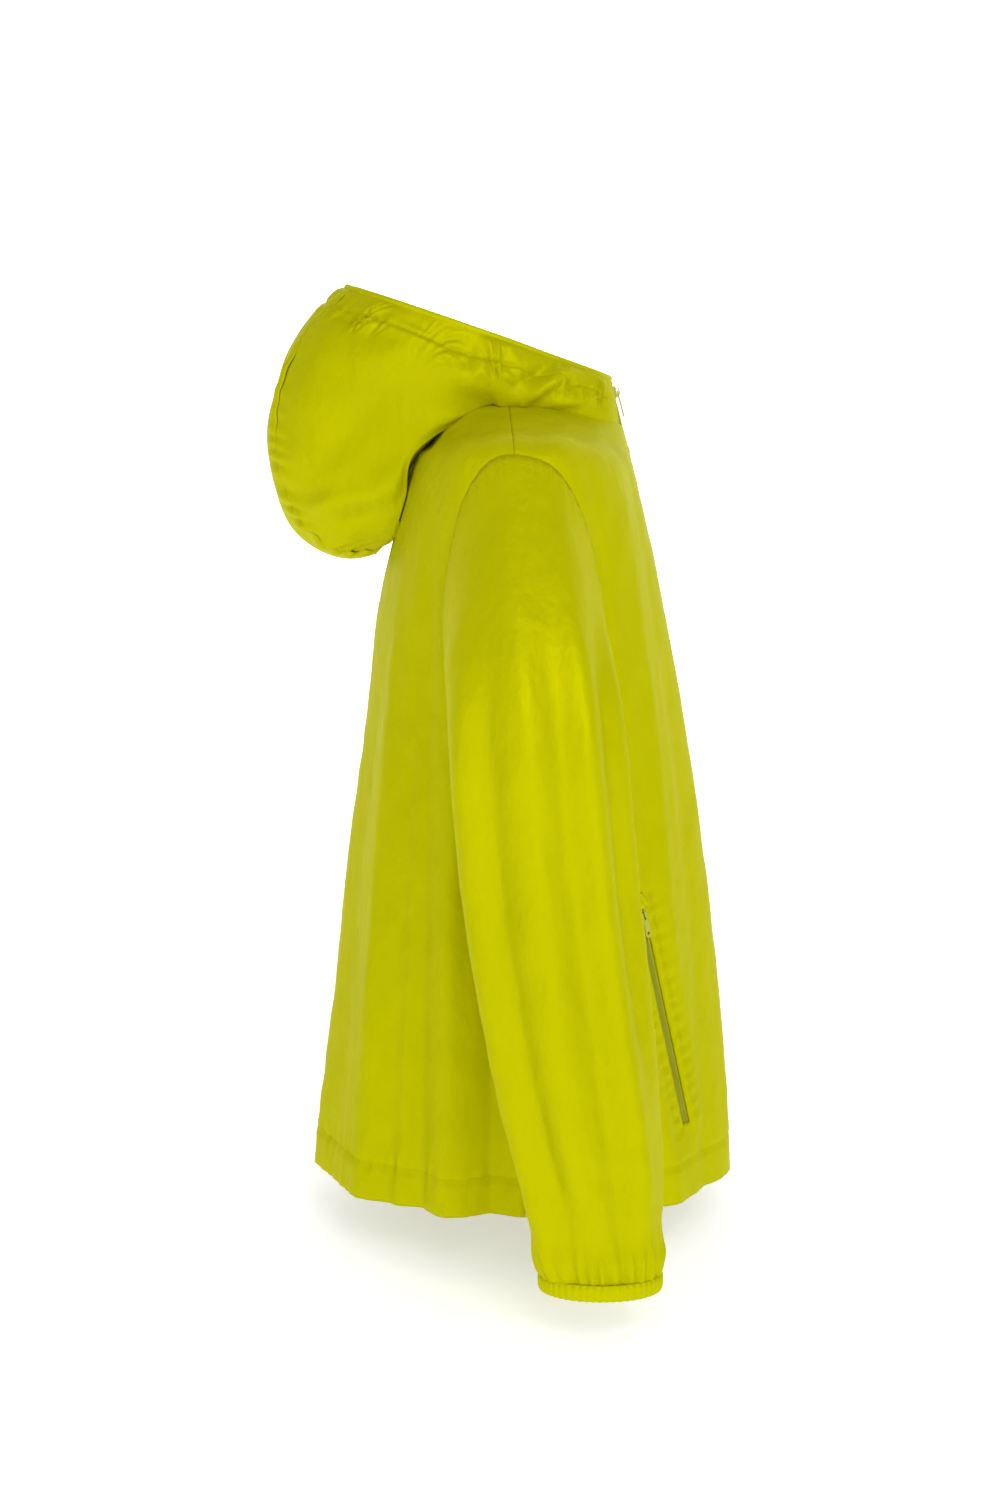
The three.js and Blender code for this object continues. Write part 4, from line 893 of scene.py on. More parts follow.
hood_net = np.stack([
    neck_line(FRONT - 0.030, (-0.0052, -0.1300, 0.0205), 0.0010, 1.0),
    neck_line(FRONT - 0.30, rim_point(-0.0215, -0.1270), 0.0030, 1.0),
    neck_line(FRONT - 0.60, rim_point(-0.0420, -0.1175), 0.0050, 1.0),
    neck_line(FRONT - 0.95, rim_point(-0.0610, -0.0985), 0.0085, 1.0),
    neck_line(SIDE + 0.25, rim_point(-0.0760, -0.0760), 0.0130, 0.95),
    neck_line(SIDE - 0.05, rim_point(-0.0870, -0.0500), 0.0150, 0.95),
    neck_line(SIDE - 0.35, rim_point(-0.0960, -0.0230), 0.0170, 0.95),
    fan_line(0.0),
    fan_line(0.28),
    fan_line(0.55),
    fan_line(0.80),
    fan_line(1.0),
])


def net_surface(net, s, k):
    """A smooth surface through a net of points: curves along k at each station, joined along s."""
    lines = np.stack([smooth_line(line, k) for line in net])
    columns = lines.reshape(len(net), -1, 3)
    flat = smooth_line(columns, np.broadcast_to(s, k.shape).reshape(1, -1))
    return flat.reshape(*k.shape, 3)


HOOD_MIDDLE = np.array((0, 0.01, 0.0))
CHANNEL = 0.022
s_line = np.linspace(0, 1, 210)
k_line = np.concatenate([np.linspace(0, 0.3, 44, endpoint=False), np.linspace(0.3, 1, 72)])
k_grid, s_grid = np.meshgrid(k_line, s_line, indexing="ij")
hood_base = net_surface(hood_net, s_grid, k_grid)
hood_normal = grid_normals(hood_base, HOOD_MIDDLE)


def run_length(points, axis):
    """Length along each line of a grid of points, from its start."""
    steps = np.linalg.norm(np.diff(points, axis=axis), axis=-1)
    start = np.zeros_like(np.take(steps, [0], axis=axis))
    return np.concatenate([start, np.cumsum(steps, axis=axis)], axis=axis)


from_rim = run_length(hood_base, 0)
along_rim = np.broadcast_to(run_length(hood_base[:1], 1), from_rim.shape)
to_seam = run_length(hood_base[:, ::-1], 1)[:, ::-1]


def rim_gathers(along, below, seed):
    """Puckers of the elastic channel: short waves between the rim and the stitching, fading below."""
    wander = 0.020 * below * ripples(along, below * 0, seed + 2, 0.05) / 0.03
    place = along + wander
    phase = 2 * math.pi * place / 0.013 + 3.4 * ripples(place, place * 0, seed, 0.055)
    strength = np.clip(0.6 + 0.6 * ripples(along, below * 0, seed + 1, 0.07), 0.05, 1.6)
    pucker = np.sin(phase) + 0.5 * ripples(place, below * 0.5, seed + 3, 0.012)
    channel = 0.0012 * ridge(below, 0.013, 0.008) + 0.0023 * ridge(below, CHANNEL + 0.006, 0.009)
    groove = -0.0017 * ridge(below, CHANNEL, 0.0020) + 0.0012 * ridge(below, 0.011, 0.008)
    return channel * strength * pucker + groove


def crease(points, start, end, width):
    """A ridge of height 1 along the straight line from start to end in the side view (y, z)."""
    start, end = np.array(start), np.array(end)
    line = end - start
    place = points[..., 1:] - start
    share = np.clip(place @ line / (line @ line), 0, 1)
    away = np.linalg.norm(place - share[..., None] * line, axis=-1)
    return ridge(away, 0, width) * (0.35 + 0.65 * np.sin(math.pi * np.clip(share, 0.05, 0.95)))


# Soft creases of the side panel: start and end as (y, z), width and height.
HOOD_CREASES = [
    ((-0.055, 0.001), (-0.098, 0.030), 0.0055, 0.0085),
    ((-0.048, 0.012), (-0.078, 0.034), 0.0055, -0.0065),
    ((-0.070, -0.002), (-0.112, 0.004), 0.0050, 0.0040),
    ((-0.074, 0.010), (-0.108, 0.020), 0.0050, -0.0035),
    ((-0.040, 0.004), (0.010, 0.030), 0.0110, 0.0050),
    ((-0.035, 0.024), (0.030, 0.060), 0.0120, -0.0045),
    ((-0.036, -0.004), (0.030, -0.020), 0.0100, 0.0040),
    ((-0.010, 0.038), (0.075, 0.040), 0.0140, 0.0035),
    ((0.060, 0.010), (0.120, -0.060), 0.0160, -0.0045),
    ((0.020, -0.040), (0.095, -0.095), 0.0140, 0.0055),
    ((0.060, -0.085), (0.118, -0.110), 0.0100, -0.0055),
    ((0.085, -0.075), (0.128, -0.088), 0.0080, 0.0045),
    ((0.010, 0.045), (0.050, 0.062), 0.0070, 0.0040),
]
hood_lift = rim_gathers(along_rim, from_rim, 41) * (0.25 + 0.75 * smooth_step(s_grid, 0.10, 0.42))
for start, end, width, height in HOOD_CREASES:
    hood_lift += height * crease(hood_base, start, end, width) * smooth_step(from_rim, 0.002, 0.020)


def seam_gathers(down):
    """Waves of the gathered seam between a side and the strip: slight above, fuller round the foot."""
    wave = np.sin(2 * math.pi * down / 0.015 + 3.2 * ripples(down, down * 0, 47, 0.06))
    return (0.0005 + 0.0017 * smooth_step(down, 0.10, 0.26)) * wave


hood_lift += ridge(to_seam, 0.004, 0.012) * (seam_gathers(from_rim) + 0.0006)
hood_lift -= 0.0016 * ridge(to_seam, 0.0, 0.0022)
hood_lift += 0.0010 * ripples(hood_base[..., 1], hood_base[..., 2], 51, 0.060)
hood_lift *= smooth_step(s_grid, 0.0, 0.05) * 0.85 + 0.15
hood_lift *= 0.2 + 0.8 * smooth_step(from_rim, 0.0, 0.008)
hood_lift *= 1 - 0.85 * smooth_step(k_grid, 0.93, 1.0)

hood_outer = hood_base + hood_normal * hood_lift[..., None]
hood_inner = hood_outer - hood_normal * CLOTH
for side_name, mirror in (("right", np.ones(3)), ("left", MIRROR)):
    side_panel = sheet_object(f"hood_side_{side_name}_cloth", hood_outer * mirror, hood_inner * mirror)
    dress(side_panel, None, shell_cloth, "shell_fabric", f"hood_side_{side_name}",
          f"collar_{side_name}")
    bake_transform(side_panel)

# Centre strip: from the rim over the back, then under, out to the side panels and in to the neck.
STRIP_ROWS, STRIP_COLUMNS = 170, 60
across = np.linspace(-1, 1, STRIP_COLUMNS) * STRIP_HALF_WIDTH
rim_here = np.full(STRIP_COLUMNS, RIM_SLOPE)
for _ in range(10):
    rim_here = rim_angle(share_at_width(across) * hood_reach(rim_here))
t_line = np.linspace(0, 1, STRIP_ROWS)[:, None]
strip_angle = rim_here + (BOTTOM_ANGLE - rim_here) * t_line
strip_base = from_hinge(across[None, :], share_at_width(across) * hood_reach(strip_angle), strip_angle)
strip_normal = grid_normals(strip_base, HOOD_MIDDLE)
strip_down = run_length(strip_base, 0)
strip_edge = STRIP_HALF_WIDTH - np.abs(across)
strip_lift = rim_gathers(np.broadcast_to(across, strip_down.shape) + 0.3, strip_down, 43)
strip_lift += ridge(strip_edge, 0.005, 0.011) * (seam_gathers(strip_down) + 0.0008)
strip_lift -= 0.0016 * ridge(strip_edge, 0.0, 0.0022)
strip_lift += 0.0016 * ripples(np.broadcast_to(across, strip_down.shape), strip_down, 53, 0.055)
strip_lift *= 0.2 + 0.8 * smooth_step(strip_down, 0.0, 0.008)
strip_outer = strip_base + strip_normal * strip_lift[..., None]
strip = sheet_object("hood_centre_cloth", strip_outer, strip_outer - strip_normal * CLOTH)
dress(strip, None, shell_cloth, "shell_fabric", "hood_centre_panel")
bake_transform(strip)

# Underside: spans between the lower edges of the two side panels, from the neckline to the foot.
UNDER_START = 6.0 / 11
under_rows = np.linspace(UNDER_START, 1, 110)
lower_edge = net_surface(hood_net, under_rows, np.ones_like(under_rows))
span = np.linspace(-1, 1, 100)[None, :]
edge = lower_edge[:, None, :]
radius = np.hypot(edge[..., 1] - HINGE_DEPTH, edge[..., 2])
foot_radius = hood_reach(BOTTOM_ANGLE)
middle_radius = 0.0505 + (radius - radius[0]) * (foot_radius - 0.0505) / (radius[-1] - radius[0])
middle_angle = np.where(middle_radius < 0.084,
                        np.radians(8) + (underside_angle(0.084) - np.radians(8))
                        * (middle_radius - 0.0505) / (0.084 - 0.0505),
                        underside_angle(middle_radius))
middle = from_hinge(0 * middle_radius, middle_radius, middle_angle)
blend_in = np.abs(span)[..., None] ** 2.4
under_base = middle + (edge - middle) * blend_in
under_base[..., 0] = np.abs(edge[..., 0]) * span
under_normal = grid_normals(under_base, HOOD_MIDDLE + np.array((0, 0.06, 0.0)))
under_lift = 0.0012 * ripples(under_base[..., 0], under_base[..., 1], 57, 0.07) * (1 - span**4)
under_outer = under_base + under_normal * under_lift[..., None]
underside = sheet_object("hood_underside_cloth", under_outer, under_outer - under_normal * CLOTH)
dress(underside, None, shell_cloth, "shell_fabric", "hood_centre_panel")
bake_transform(underside)


# ---- Hood binding and elastic ---------------------------------------------------------------------
# The rim is edged with a narrow folded strip of the shell cloth, from zip to zip round the opening.
# A round elastic lies in the channel behind it, hidden by the cloth.

def round_tube(name, path, radii, around=10, ripple=0.0):
    """A capped tube of radii (a along the mean normal, b across) round a path of points.

    Ring points are p + a cos w n + b sin w m, with n and m carried along the path without twist.
    """
    path = np.asarray(path)
    tangent = np.gradient(path, axis=0)
    tangent /= np.linalg.norm(tangent, axis=1, keepdims=True)
    normal = np.cross(tangent[0], (0, 0, 1.0))
    if np.linalg.norm(normal) < 1e-3:
        normal = np.cross(tangent[0], (0, 1.0, 0))
    normals = []
    for direction in tangent:
        normal = normal - direction * (normal @ direction)
        normal = normal / np.linalg.norm(normal)
        normals.append(normal)
    normals = np.array(normals)
    binormals = np.cross(tangent, normals)
    turn = np.arange(around) * 2 * math.pi / around
    length = np.concatenate([[0], np.cumsum(np.linalg.norm(np.diff(path, axis=0), axis=1))])
    swell = 1 + ripple * np.sin(2 * math.pi * length / 0.006)[:, None, None]
    rings = path[:, None] + swell * (radii[0] * np.cos(turn)[None, :, None] * normals[:, None]
                                     + radii[1] * np.sin(turn)[None, :, None] * binormals[:, None])
    return tube_object(name, rings, ends_closed=True)


def rim_path(row, depth, first=0):
    """Points along a row of the hood from the right zip edge round to the left, sunk by depth."""
    side = (hood_outer - hood_normal * depth)[row, first:]
    here = np.argmin(np.abs(strip_down[:, STRIP_COLUMNS // 2] - from_rim[row, -1]))
    centre = (strip_outer - strip_normal * depth)[here, 3:-3]
    return np.concatenate([side[:-2], centre[::1], (side * MIRROR)[::-1][2:]])


binding = round_tube("hood_binding_cloth", rim_path(0, CLOTH / 2), (0.0017, 0.0024), 12, 0.05)
dress(binding, None, trim_cloth, "binding_fabric", "hood_binding")
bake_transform(binding)
channel_row = int(np.argmin(np.abs(from_rim[:, 100] - CHANNEL)))
elastic = round_tube("hood_elastic_cord", rim_path(channel_row, CLOTH + 0.0014, 20), (0.0008, 0.0008), 8)
dress(elastic, None, elastic_material, "elastic", "hood_elastic")
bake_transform(elastic)


# ---- Hem ------------------------------------------------------------------------------------------
# The hem is turned up inside and stitched, with a flat elastic in the back that pleats it slightly.

def inner_strip(name, u_low, u_high, low, high, depth, wall, columns, rows=14):
    """A strip inside the body between two heights above the hem, following the cloth outside it."""
    v = row_at_height(HEM_HEIGHT + np.linspace(low, high, rows))[:, None]
    u = u_low + (u_high - u_low) * np.linspace(0, 1, columns)[None, :]
    u, v = np.broadcast_arrays(u, v)
    return body_sheet(name, u, v, lift=-depth, wall=wall)


back_facing = inner_strip("hem_facing_back_cloth", 0.012, math.pi - 0.012, 0.001, HEM_BAND,
                          0.0034, 0.0008, 190)
dress(back_facing, "shell", shell_cloth, "shell_fabric", "hem_facing_back")
hem_elastic = inner_strip("hem_elastic_band", 0.02, math.pi - 0.02, 0.0055, 0.0255, 0.0016, 0.0010, 190)
dress(hem_elastic, "shell", elastic_material, "elastic", "hem_elastic")
zip_edge = FRONT - math.asin((0.016 / 0.203) ** (1 / BODY_ROUND))
hem_v = row_at_height(HEM_HEIGHT + np.linspace(0.001, HEM_BAND, 14))[:, None]
hem_u = SIDE + 0.012 + (zip_edge - SIDE - 0.012) * np.linspace(0, 1, 90)[None, :]
hem_u, hem_v = np.broadcast_arrays(hem_u, hem_v)
hem_relief = body_relief(hem_u, hem_v)
hem_outer = on_torso(hem_u, hem_v, hem_relief - 0.0016)
hem_inner = on_torso(hem_u, hem_v, hem_relief - 0.0024)
for side_name, mirror in (("right", np.ones(3)), ("left", MIRROR)):
    facing = sheet_object(f"hem_facing_{side_name}_cloth", hem_outer * mirror, hem_inner * mirror)
    dress(facing, "shell", shell_cloth, "shell_fabric", f"hem_facing_{side_name}")


# ---- Neck tape and hanger loop --------------------------------------------------------------------
# A woven tape covers the seam inside the back of the neck, and a ribbon loop is sewn under it.

tape_material, nodes, links, shader = node_material("woven_tape", (0.56, 0.57, 0.01), 0.7)
tape_tone = noise_node(nodes, links, 90.0, 2.0)
tape_mix = nodes.new("ShaderNodeMix")
tape_mix.data_type = "RGBA"
tape_mix.inputs[6].default_value = (0.58, 0.59, 0.012, 1)
tape_mix.inputs[7].default_value = (0.48, 0.49, 0.006, 1)
links.new(tape_tone.outputs["Fac"], tape_mix.inputs[0])
links.new(tape_mix.outputs[2], shader.inputs["Base Color"])
bump_chain(nodes, links, shader, [(weave_height(nodes, links, 0.0013), 0.5, 0.0002)])

tape_v = np.linspace(0.965, 0.998, 10)[:, None]
tape_u = np.linspace(0.50, math.pi - 0.50, 90)[None, :]
tape_u, tape_v = np.broadcast_arrays(tape_u, tape_v)
neck_tape = sheet_object("neck_tape_band", on_torso(tape_u, tape_v, -0.0022),
                         on_torso(tape_u, tape_v, -0.0030))
dress(neck_tape, "shell", tape_material, "binding_fabric", "neck_tape")

LOOP_HALF_SPAN = 0.024
LOOP_DROP = 0.007
loop_path = smooth_line([
    (-LOOP_HALF_SPAN, 0.001, LOOP_DROP),
    (-LOOP_HALF_SPAN * 0.8, 0, LOOP_DROP * 0.3),
    (0, 0, 0),
    (LOOP_HALF_SPAN * 0.8, 0, LOOP_DROP * 0.3),
    (LOOP_HALF_SPAN, 0.001, LOOP_DROP),
], np.linspace(0, 1, 60))
loop_round = np.arange(16) * 2 * math.pi / 16
loop_y = 0.0004 * np.sign(np.sin(loop_round)) * np.abs(np.sin(loop_round)) ** 0.6
loop_z = 0.0020 * np.sign(np.cos(loop_round)) * np.abs(np.cos(loop_round)) ** 0.6
loop_rings = loop_path[:, None] + np.stack([0 * loop_y, loop_y, loop_z], -1)[None]
hanger = tube_object("hanger_loop_ribbon", loop_rings, ends_closed=True)
dress(hanger, "shell", tape_material, "binding_fabric", "hanger_loop")


# ---- Front zip ------------------------------------------------------------------------------------
# A moulded-tooth zip follows the front edge from the hem to the top of the collar, tone on tone.
# Its tapes are sewn behind the front panels; the slider rests near the top with its puller down.


ZIP_LENGTH = 0.681755


def on_arc(across, down, proud):
    """A point a distance down the front arc from its top, across to the side and proud of the cloth."""
    top = math.asin((0.020 - ARC_HEIGHT) / ARC_RADIUS)
    angle = top - np.asarray(down) / ARC_RADIUS
    radius = ARC_RADIUS + np.asarray(proud)
    y = ARC_DEPTH - radius * np.cos(angle)
    z = ARC_HEIGHT + radius * np.sin(angle)
    return np.stack(np.broadcast_arrays(across, y, z), -1)


def plastic_material(name, colour, roughness, scratch):
    """Moulded or painted trim: an even tone with faint mottling and a slightly uneven, worn gloss."""
    material, nodes, links, shader = node_material(name, colour, roughness)
    mottle = noise_node(nodes, links, 220.0, 3.0)
    tone = nodes.new("ShaderNodeMix")
    tone.data_type = "RGBA"
    tone.inputs[6].default_value = (*colour, 1)
    tone.inputs[7].default_value = (*(0.86 * c for c in colour), 1)
    links.new(mottle.outputs["Fac"], tone.inputs[0])
    links.new(tone.outputs[2], shader.inputs["Base Color"])
    gloss = nodes.new("ShaderNodeMapRange")
    gloss.inputs["To Min"].default_value = roughness - 0.08
    gloss.inputs["To Max"].default_value = roughness + 0.12
    links.new(mottle.outputs["Fac"], gloss.inputs["Value"])
    links.new(gloss.outputs["Result"], shader.inputs["Roughness"])
    bump_chain(nodes, links, shader, [(mottle.outputs["Fac"], scratch, 0.0002)])
    return material


teeth_plastic = plastic_material("zip_plastic", (0.52, 0.54, 0.02), 0.38, 0.2)
painted_metal = plastic_material("painted_metal", (0.50, 0.52, 0.03), 0.32, 0.35)

tape_down = np.linspace(0.002, ZIP_LENGTH - 0.001, 220)[:, None]
tape_across = np.linspace(0.0010, 0.0128, 10)[None, :]
for side_name, side in (("right", -1), ("left", 1)):
    grids = np.broadcast_arrays(side * tape_across, tape_down)
    tape = sheet_object(f"zip_tape_{side_name}_band", on_arc(*grids, -0.0030), on_arc(*grids, -0.0038))
    dress(tape, "shell", tape_material, "zip_tape", f"zip_tape_{side_name}")


def copies(name, rings, places):
    """One mesh of many capped copies of a small ringed shape, at (origin, x, y, z axis) places.

    rings is (count, around, 3). Each copy's points are o + p.x X + p.y Y + p.z Z.
    """
    count, around = rings.shape[:2]
    corner = np.arange(count * around).reshape(count, around)
    after = np.roll(corner, -1, axis=1)
    quads = np.stack([corner[:-1], after[:-1], after[1:], corner[1:]], -1).reshape(-1, 4)
    tops = np.array([count * around, count * around + 1])
    triangles = np.concatenate([
        np.stack([after[0], corner[0], np.full(around, tops[0])], -1),
        np.stack([corner[-1], after[-1], np.full(around, tops[1])], -1),
    ])
    shape = np.concatenate([rings.reshape(-1, 3), rings[[0, -1]].mean(1)])
    origins, xs, ys, zs = (np.asarray(part, float) for part in places)
    points = origins[:, None] + (shape[None, :, :1] * xs[:, None] + shape[None, :, 1:2] * ys[:, None]
                                 + shape[None, :, 2:] * zs[:, None])
    shift = (np.arange(len(origins)) * len(shape))[:, None, None]
    all_quads = (quads[None] + shift).reshape(-1, 4)
    all_triangles = (triangles[None] + shift).reshape(-1, 3)
    centre = shape.mean(0)
    face = shape[quads]
    turned = np.cross(face[:, 2] - face[:, 0], face[:, 3] - face[:, 1])
    hand = np.linalg.det(np.stack([xs[0], ys[0], zs[0]]))
    if np.sum(turned * (face.mean(1) - centre)) * hand < 0:
        all_quads = all_quads[:, ::-1]
        all_triangles = all_triangles[:, ::-1]
    mesh = bpy.data.meshes.new(name)
    mesh.from_pydata(points.reshape(-1, 3).tolist(), [], all_quads.tolist() + all_triangles.tolist())
    mesh.shade_smooth()
    obj = bpy.data.objects.new(name, mesh)
    bpy.context.collection.objects.link(obj)
    return obj


def box_rings(size, rounding, count=8):
    """Rings of a rounded box of size (x, y, z): shrunk at both ends by rounding, a squircle across."""
    turn = np.arange(4 * count) * 2 * math.pi / (4 * count)
    squircle = np.stack([np.sign(np.cos(turn)) * np.abs(np.cos(turn)) ** 0.45,
                         np.sign(np.sin(turn)) * np.abs(np.sin(turn)) ** 0.45], -1)
    levels = [(-0.5, 1), (-0.5, 0), (0.5, 0), (0.5, 1)]
    rings = []
    for level, drawn in levels:
        half_x = size[0] / 2 - rounding * drawn
        half_y = size[1] / 2 - rounding * drawn
        z = level * (size[2] - 2 * rounding * (1 - drawn))
        rings.append(np.column_stack([squircle * (half_x, half_y), np.full(len(turn), z)]))
    return np.array(rings)


def arc_axes(down):
    """Across, up and out axes of the front arc at distances down it."""
    down = np.atleast_1d(down)
    out = on_arc(0.0, down, 1.0) - on_arc(0.0, down, 0.0)
    across = np.broadcast_to((1.0, 0, 0), out.shape)
    return across, np.cross(out, across), out


TOOTH_PITCH = 0.0026
tooth = box_rings((0.0030, 0.0014, 0.0030), 0.0004, 4)
for side_name, side in (("right", -1), ("left", 1)):
    down = np.arange(0.0065, ZIP_LENGTH - 0.0135, TOOTH_PITCH) + (side + 1) * TOOTH_PITCH / 4
    teeth = copies(f"zip_teeth_{side_name}_row", tooth,
                   (on_arc(side * 0.0019, down, -0.0011), *arc_axes(down)))
    dress(teeth, "shell", teeth_plastic, "zip_teeth", f"zip_teeth_{side_name}")
    stop = copies(f"zip_top_stop_{side_name}_piece", box_rings((0.0026, 0.0030, 0.0036), 0.0005),
                  (on_arc(side * 0.0020, [0.0035], -0.0009), *arc_axes(0.0035)))
    dress(stop, "shell", painted_metal, "painted_metal", f"zip_top_stop_{side_name}")
foot = ZIP_LENGTH - 0.0065
retainer = copies("zip_retainer_box_piece", box_rings((0.0040, 0.0110, 0.0042), 0.0008),
                  (on_arc(0.0026, [foot], -0.0006), *arc_axes(foot)))
dress(retainer, "shell", painted_metal, "painted_metal", "zip_retainer_box")
pin = copies("zip_insertion_pin_piece", box_rings((0.0021, 0.0110, 0.0030), 0.0005),
             (on_arc(-0.0016, [foot], -0.0010), *arc_axes(foot)))
dress(pin, "shell", painted_metal, "painted_metal", "zip_insertion_pin")


# ---- Sliders and pullers --------------------------------------------------------------------------
# Cast sliders painted to match, each with an arch that carries a flat puller with a round eye.
# They keep the CAD's solids, so that they run and swing cleanly; their edges are rounded here.

for name in ("zip_slider", "pocket_slider_right", "pocket_slider_left",
             "zip_puller", "pocket_puller_right", "pocket_puller_left"):
    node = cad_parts[name]
    node.data.materials.clear()
    node.data.materials.append(painted_metal)
    bevel = node.modifiers.new("worn_edges", "BEVEL")
    bevel.width = 0.00022
    bevel.segments = 2
    bevel.limit_method = "ANGLE"


# ---- Hand pockets ---------------------------------------------------------------------------------
# A coil zip is sewn behind each slot: two woven tapes with a fine nylon coil along their edges.
# A folded garage of shell cloth covers the top end, and a bag of the same nylon hangs inside.

POCKET_AXES = np.stack([POCKET_ACROSS, POCKET_UP, POCKET_OUT])


def from_pocket(x, y, z):
    """World points of local pocket coordinates: base + x across + y up + z out."""
    return POCKET_BASE + np.stack(np.broadcast_arrays(x, y, z), -1) @ POCKET_AXES


def coil_points(side, wire, around=6):
    """Rings of a wire wound along the zip: x = s (c + a cos w), z = h + b sin w, y = p w / 2 pi."""
    turns = int(POCKET_LENGTH / 0.0016)
    w = np.linspace(0, 2 * math.pi * turns, turns * 10)
    y = -POCKET_LENGTH / 2 + 0.0016 * w / (2 * math.pi)
    x = side * (0.0016 + 0.0009 * np.cos(w))
    z = -0.0009 + 0.0006 * np.sin(w)
    turn = np.arange(around) * 2 * math.pi / around
    ring_x = x[:, None] + side * wire * np.cos(turn) * np.cos(w)[:, None]
    ring_z = z[:, None] + wire * np.cos(turn) * np.sin(w)[:, None]
    ring_y = y[:, None] + wire * np.sin(turn)
    return from_pocket(ring_x, ring_y, ring_z)


tape_y = np.linspace(-POCKET_LENGTH / 2 - 0.004, POCKET_LENGTH / 2 + 0.004, 80)[:, None]
tape_x = np.linspace(0.0007, 0.0105, 8)[None, :]
for half, side in (("front", 1), ("back", -1)):
    grids = np.broadcast_arrays(side * tape_x, tape_y)
    upper = from_pocket(*grids, -0.0019)
    lower = from_pocket(*grids, -0.0027)
    coil_rings = coil_points(side, 0.00033)
    for side_name, mirror in (("right", np.ones(3)), ("left", MIRROR)):
        tape = sheet_object(f"pocket_zip_{half}_{side_name}_tape", upper * mirror, lower * mirror)
        dress(tape, "shell", tape_material, "zip_tape", f"pocket_zip_{half}_half_{side_name}")
        coil = tube_object(f"pocket_zip_{half}_{side_name}_coil", coil_rings * mirror, ends_closed=True)
        dress(coil, "shell", teeth_plastic, "zip_teeth", f"pocket_zip_{half}_half_{side_name}")

garage_x = np.linspace(-1, 1, 30)[None, :]
garage_y = np.linspace(0, 1, 24)[:, None]
garage_x, garage_y = np.broadcast_arrays(garage_x, garage_y)
garage_width = 0.0082 * (1 - 0.12 * garage_y**3)
garage_z = (0.0021 + 0.0010 * (1 - garage_x**2) + 0.0004 * np.sin(9 * garage_x + 5 * garage_y)
            - 0.0012 * garage_y**2)
garage_outer = from_pocket(garage_x * garage_width, POCKET_LENGTH / 2 - 0.001 + 0.0125 * garage_y, garage_z)
garage_inner = garage_outer - POCKET_OUT * 0.0009

bag_v = np.linspace(row_at_height(-0.613), row_at_height(-0.388), 60)[:, None]
bag_share = (bag_v - POCKET_BOTTOM) / (POCKET_TOP - POCKET_BOTTOM)
bag_edge = SIDE + 0.826 + (0.584 - 0.826) * np.clip(bag_share, 0, 1) + 0.036
bag_u = bag_edge + (FRONT - 0.16 - bag_edge) * np.linspace(0, 1, 60)[None, :]
bag_u, bag_v = np.broadcast_arrays(bag_u, bag_v)
bag_wave = 0.0008 * ripples(bag_u * 0.2, bag_v * 0.9, 61, 0.05)
bag_outer = on_torso(bag_u, bag_v, -0.0068 + bag_wave)
bag_inner = on_torso(bag_u, bag_v, -0.0084 + bag_wave)
for side_name, mirror in (("right", np.ones(3)), ("left", MIRROR)):
    garage = sheet_object(f"pocket_garage_{side_name}_cloth", garage_outer * mirror, garage_inner * mirror)
    dress(garage, "shell", trim_cloth, "shell_fabric", f"pocket_zip_garage_{side_name}")
    bag = sheet_object(f"pocket_bag_{side_name}_cloth", bag_outer * mirror, bag_inner * mirror)
    dress(bag, "shell", trim_cloth, "pocket_fabric", f"pocket_bag_{side_name}")


# ---- Stitching ------------------------------------------------------------------------------------
# Single rows of lockstitch in tonal polyester thread hold the hem, the front zip, the pocket zips,
# the hood's elastic channel and the sleeve heads. Each visible stitch is a short arched thread.

STITCH_PITCH = 0.0032
STITCH_LENGTH = 0.0024
THREAD_RADIUS = 0.00026
STITCH_END_ANGLE = 0.12


def line_across(grid, measure, value):
    """The line over a grid of points where a measure that rises down the rows reaches a value."""
    below = np.clip(np.argmax(measure >= value, axis=0), 1, len(measure) - 1)[None]
    low = np.take_along_axis(measure, below - 1, 0)
    high = np.take_along_axis(measure, below, 0)
    share = ((value - low) / (high - low))[..., None]
    start = np.take_along_axis(grid, below[..., None] - 1, 0)
    end = np.take_along_axis(grid, below[..., None], 0)
    return (start + (end - start) * share)[0]


def stitch_rings(around=6, count=5):
    """One stitch: a thread along z of radius r sqrt(sin a), arched by r sin a, for a from 0 to pi."""
    turn = np.arange(around) * 2 * math.pi / around
    a = np.linspace(STITCH_END_ANGLE, math.pi - STITCH_END_ANGLE, count)[:, None]
    radius = THREAD_RADIUS * np.sqrt(np.sin(a))
    z = np.broadcast_to(-STITCH_LENGTH / 2 * np.cos(a), (count, around))
    return np.stack([radius * np.cos(turn), radius * np.sin(turn) + 0.6 * THREAD_RADIUS * np.sin(a), z], -1)


def stitches_along(line, outward):
    """Origins and axes of stitches spaced evenly along a line of points with outward directions."""
    run = np.concatenate([[0], np.cumsum(np.linalg.norm(np.diff(line, axis=0), axis=-1))])
    places = np.arange(STITCH_PITCH, run[-1] - STITCH_PITCH, STITCH_PITCH)

    def at(values, where):
        return np.stack([np.interp(where, run, values[:, i]) for i in range(3)], -1)

    along = at(line, places + STITCH_LENGTH / 2) - at(line, places - STITCH_LENGTH / 2)
    along /= np.linalg.norm(along, axis=-1, keepdims=True)
    out = at(outward, places)
    across = np.cross(out, along)
    across /= np.linalg.norm(across, axis=-1, keepdims=True)
    return at(line, places), across, np.cross(along, across), along


thread = cloth_material("stitching_thread", (0.66, 0.64, 0.004), (0.52, 0.51, 0.002), 0.5, 0.3)


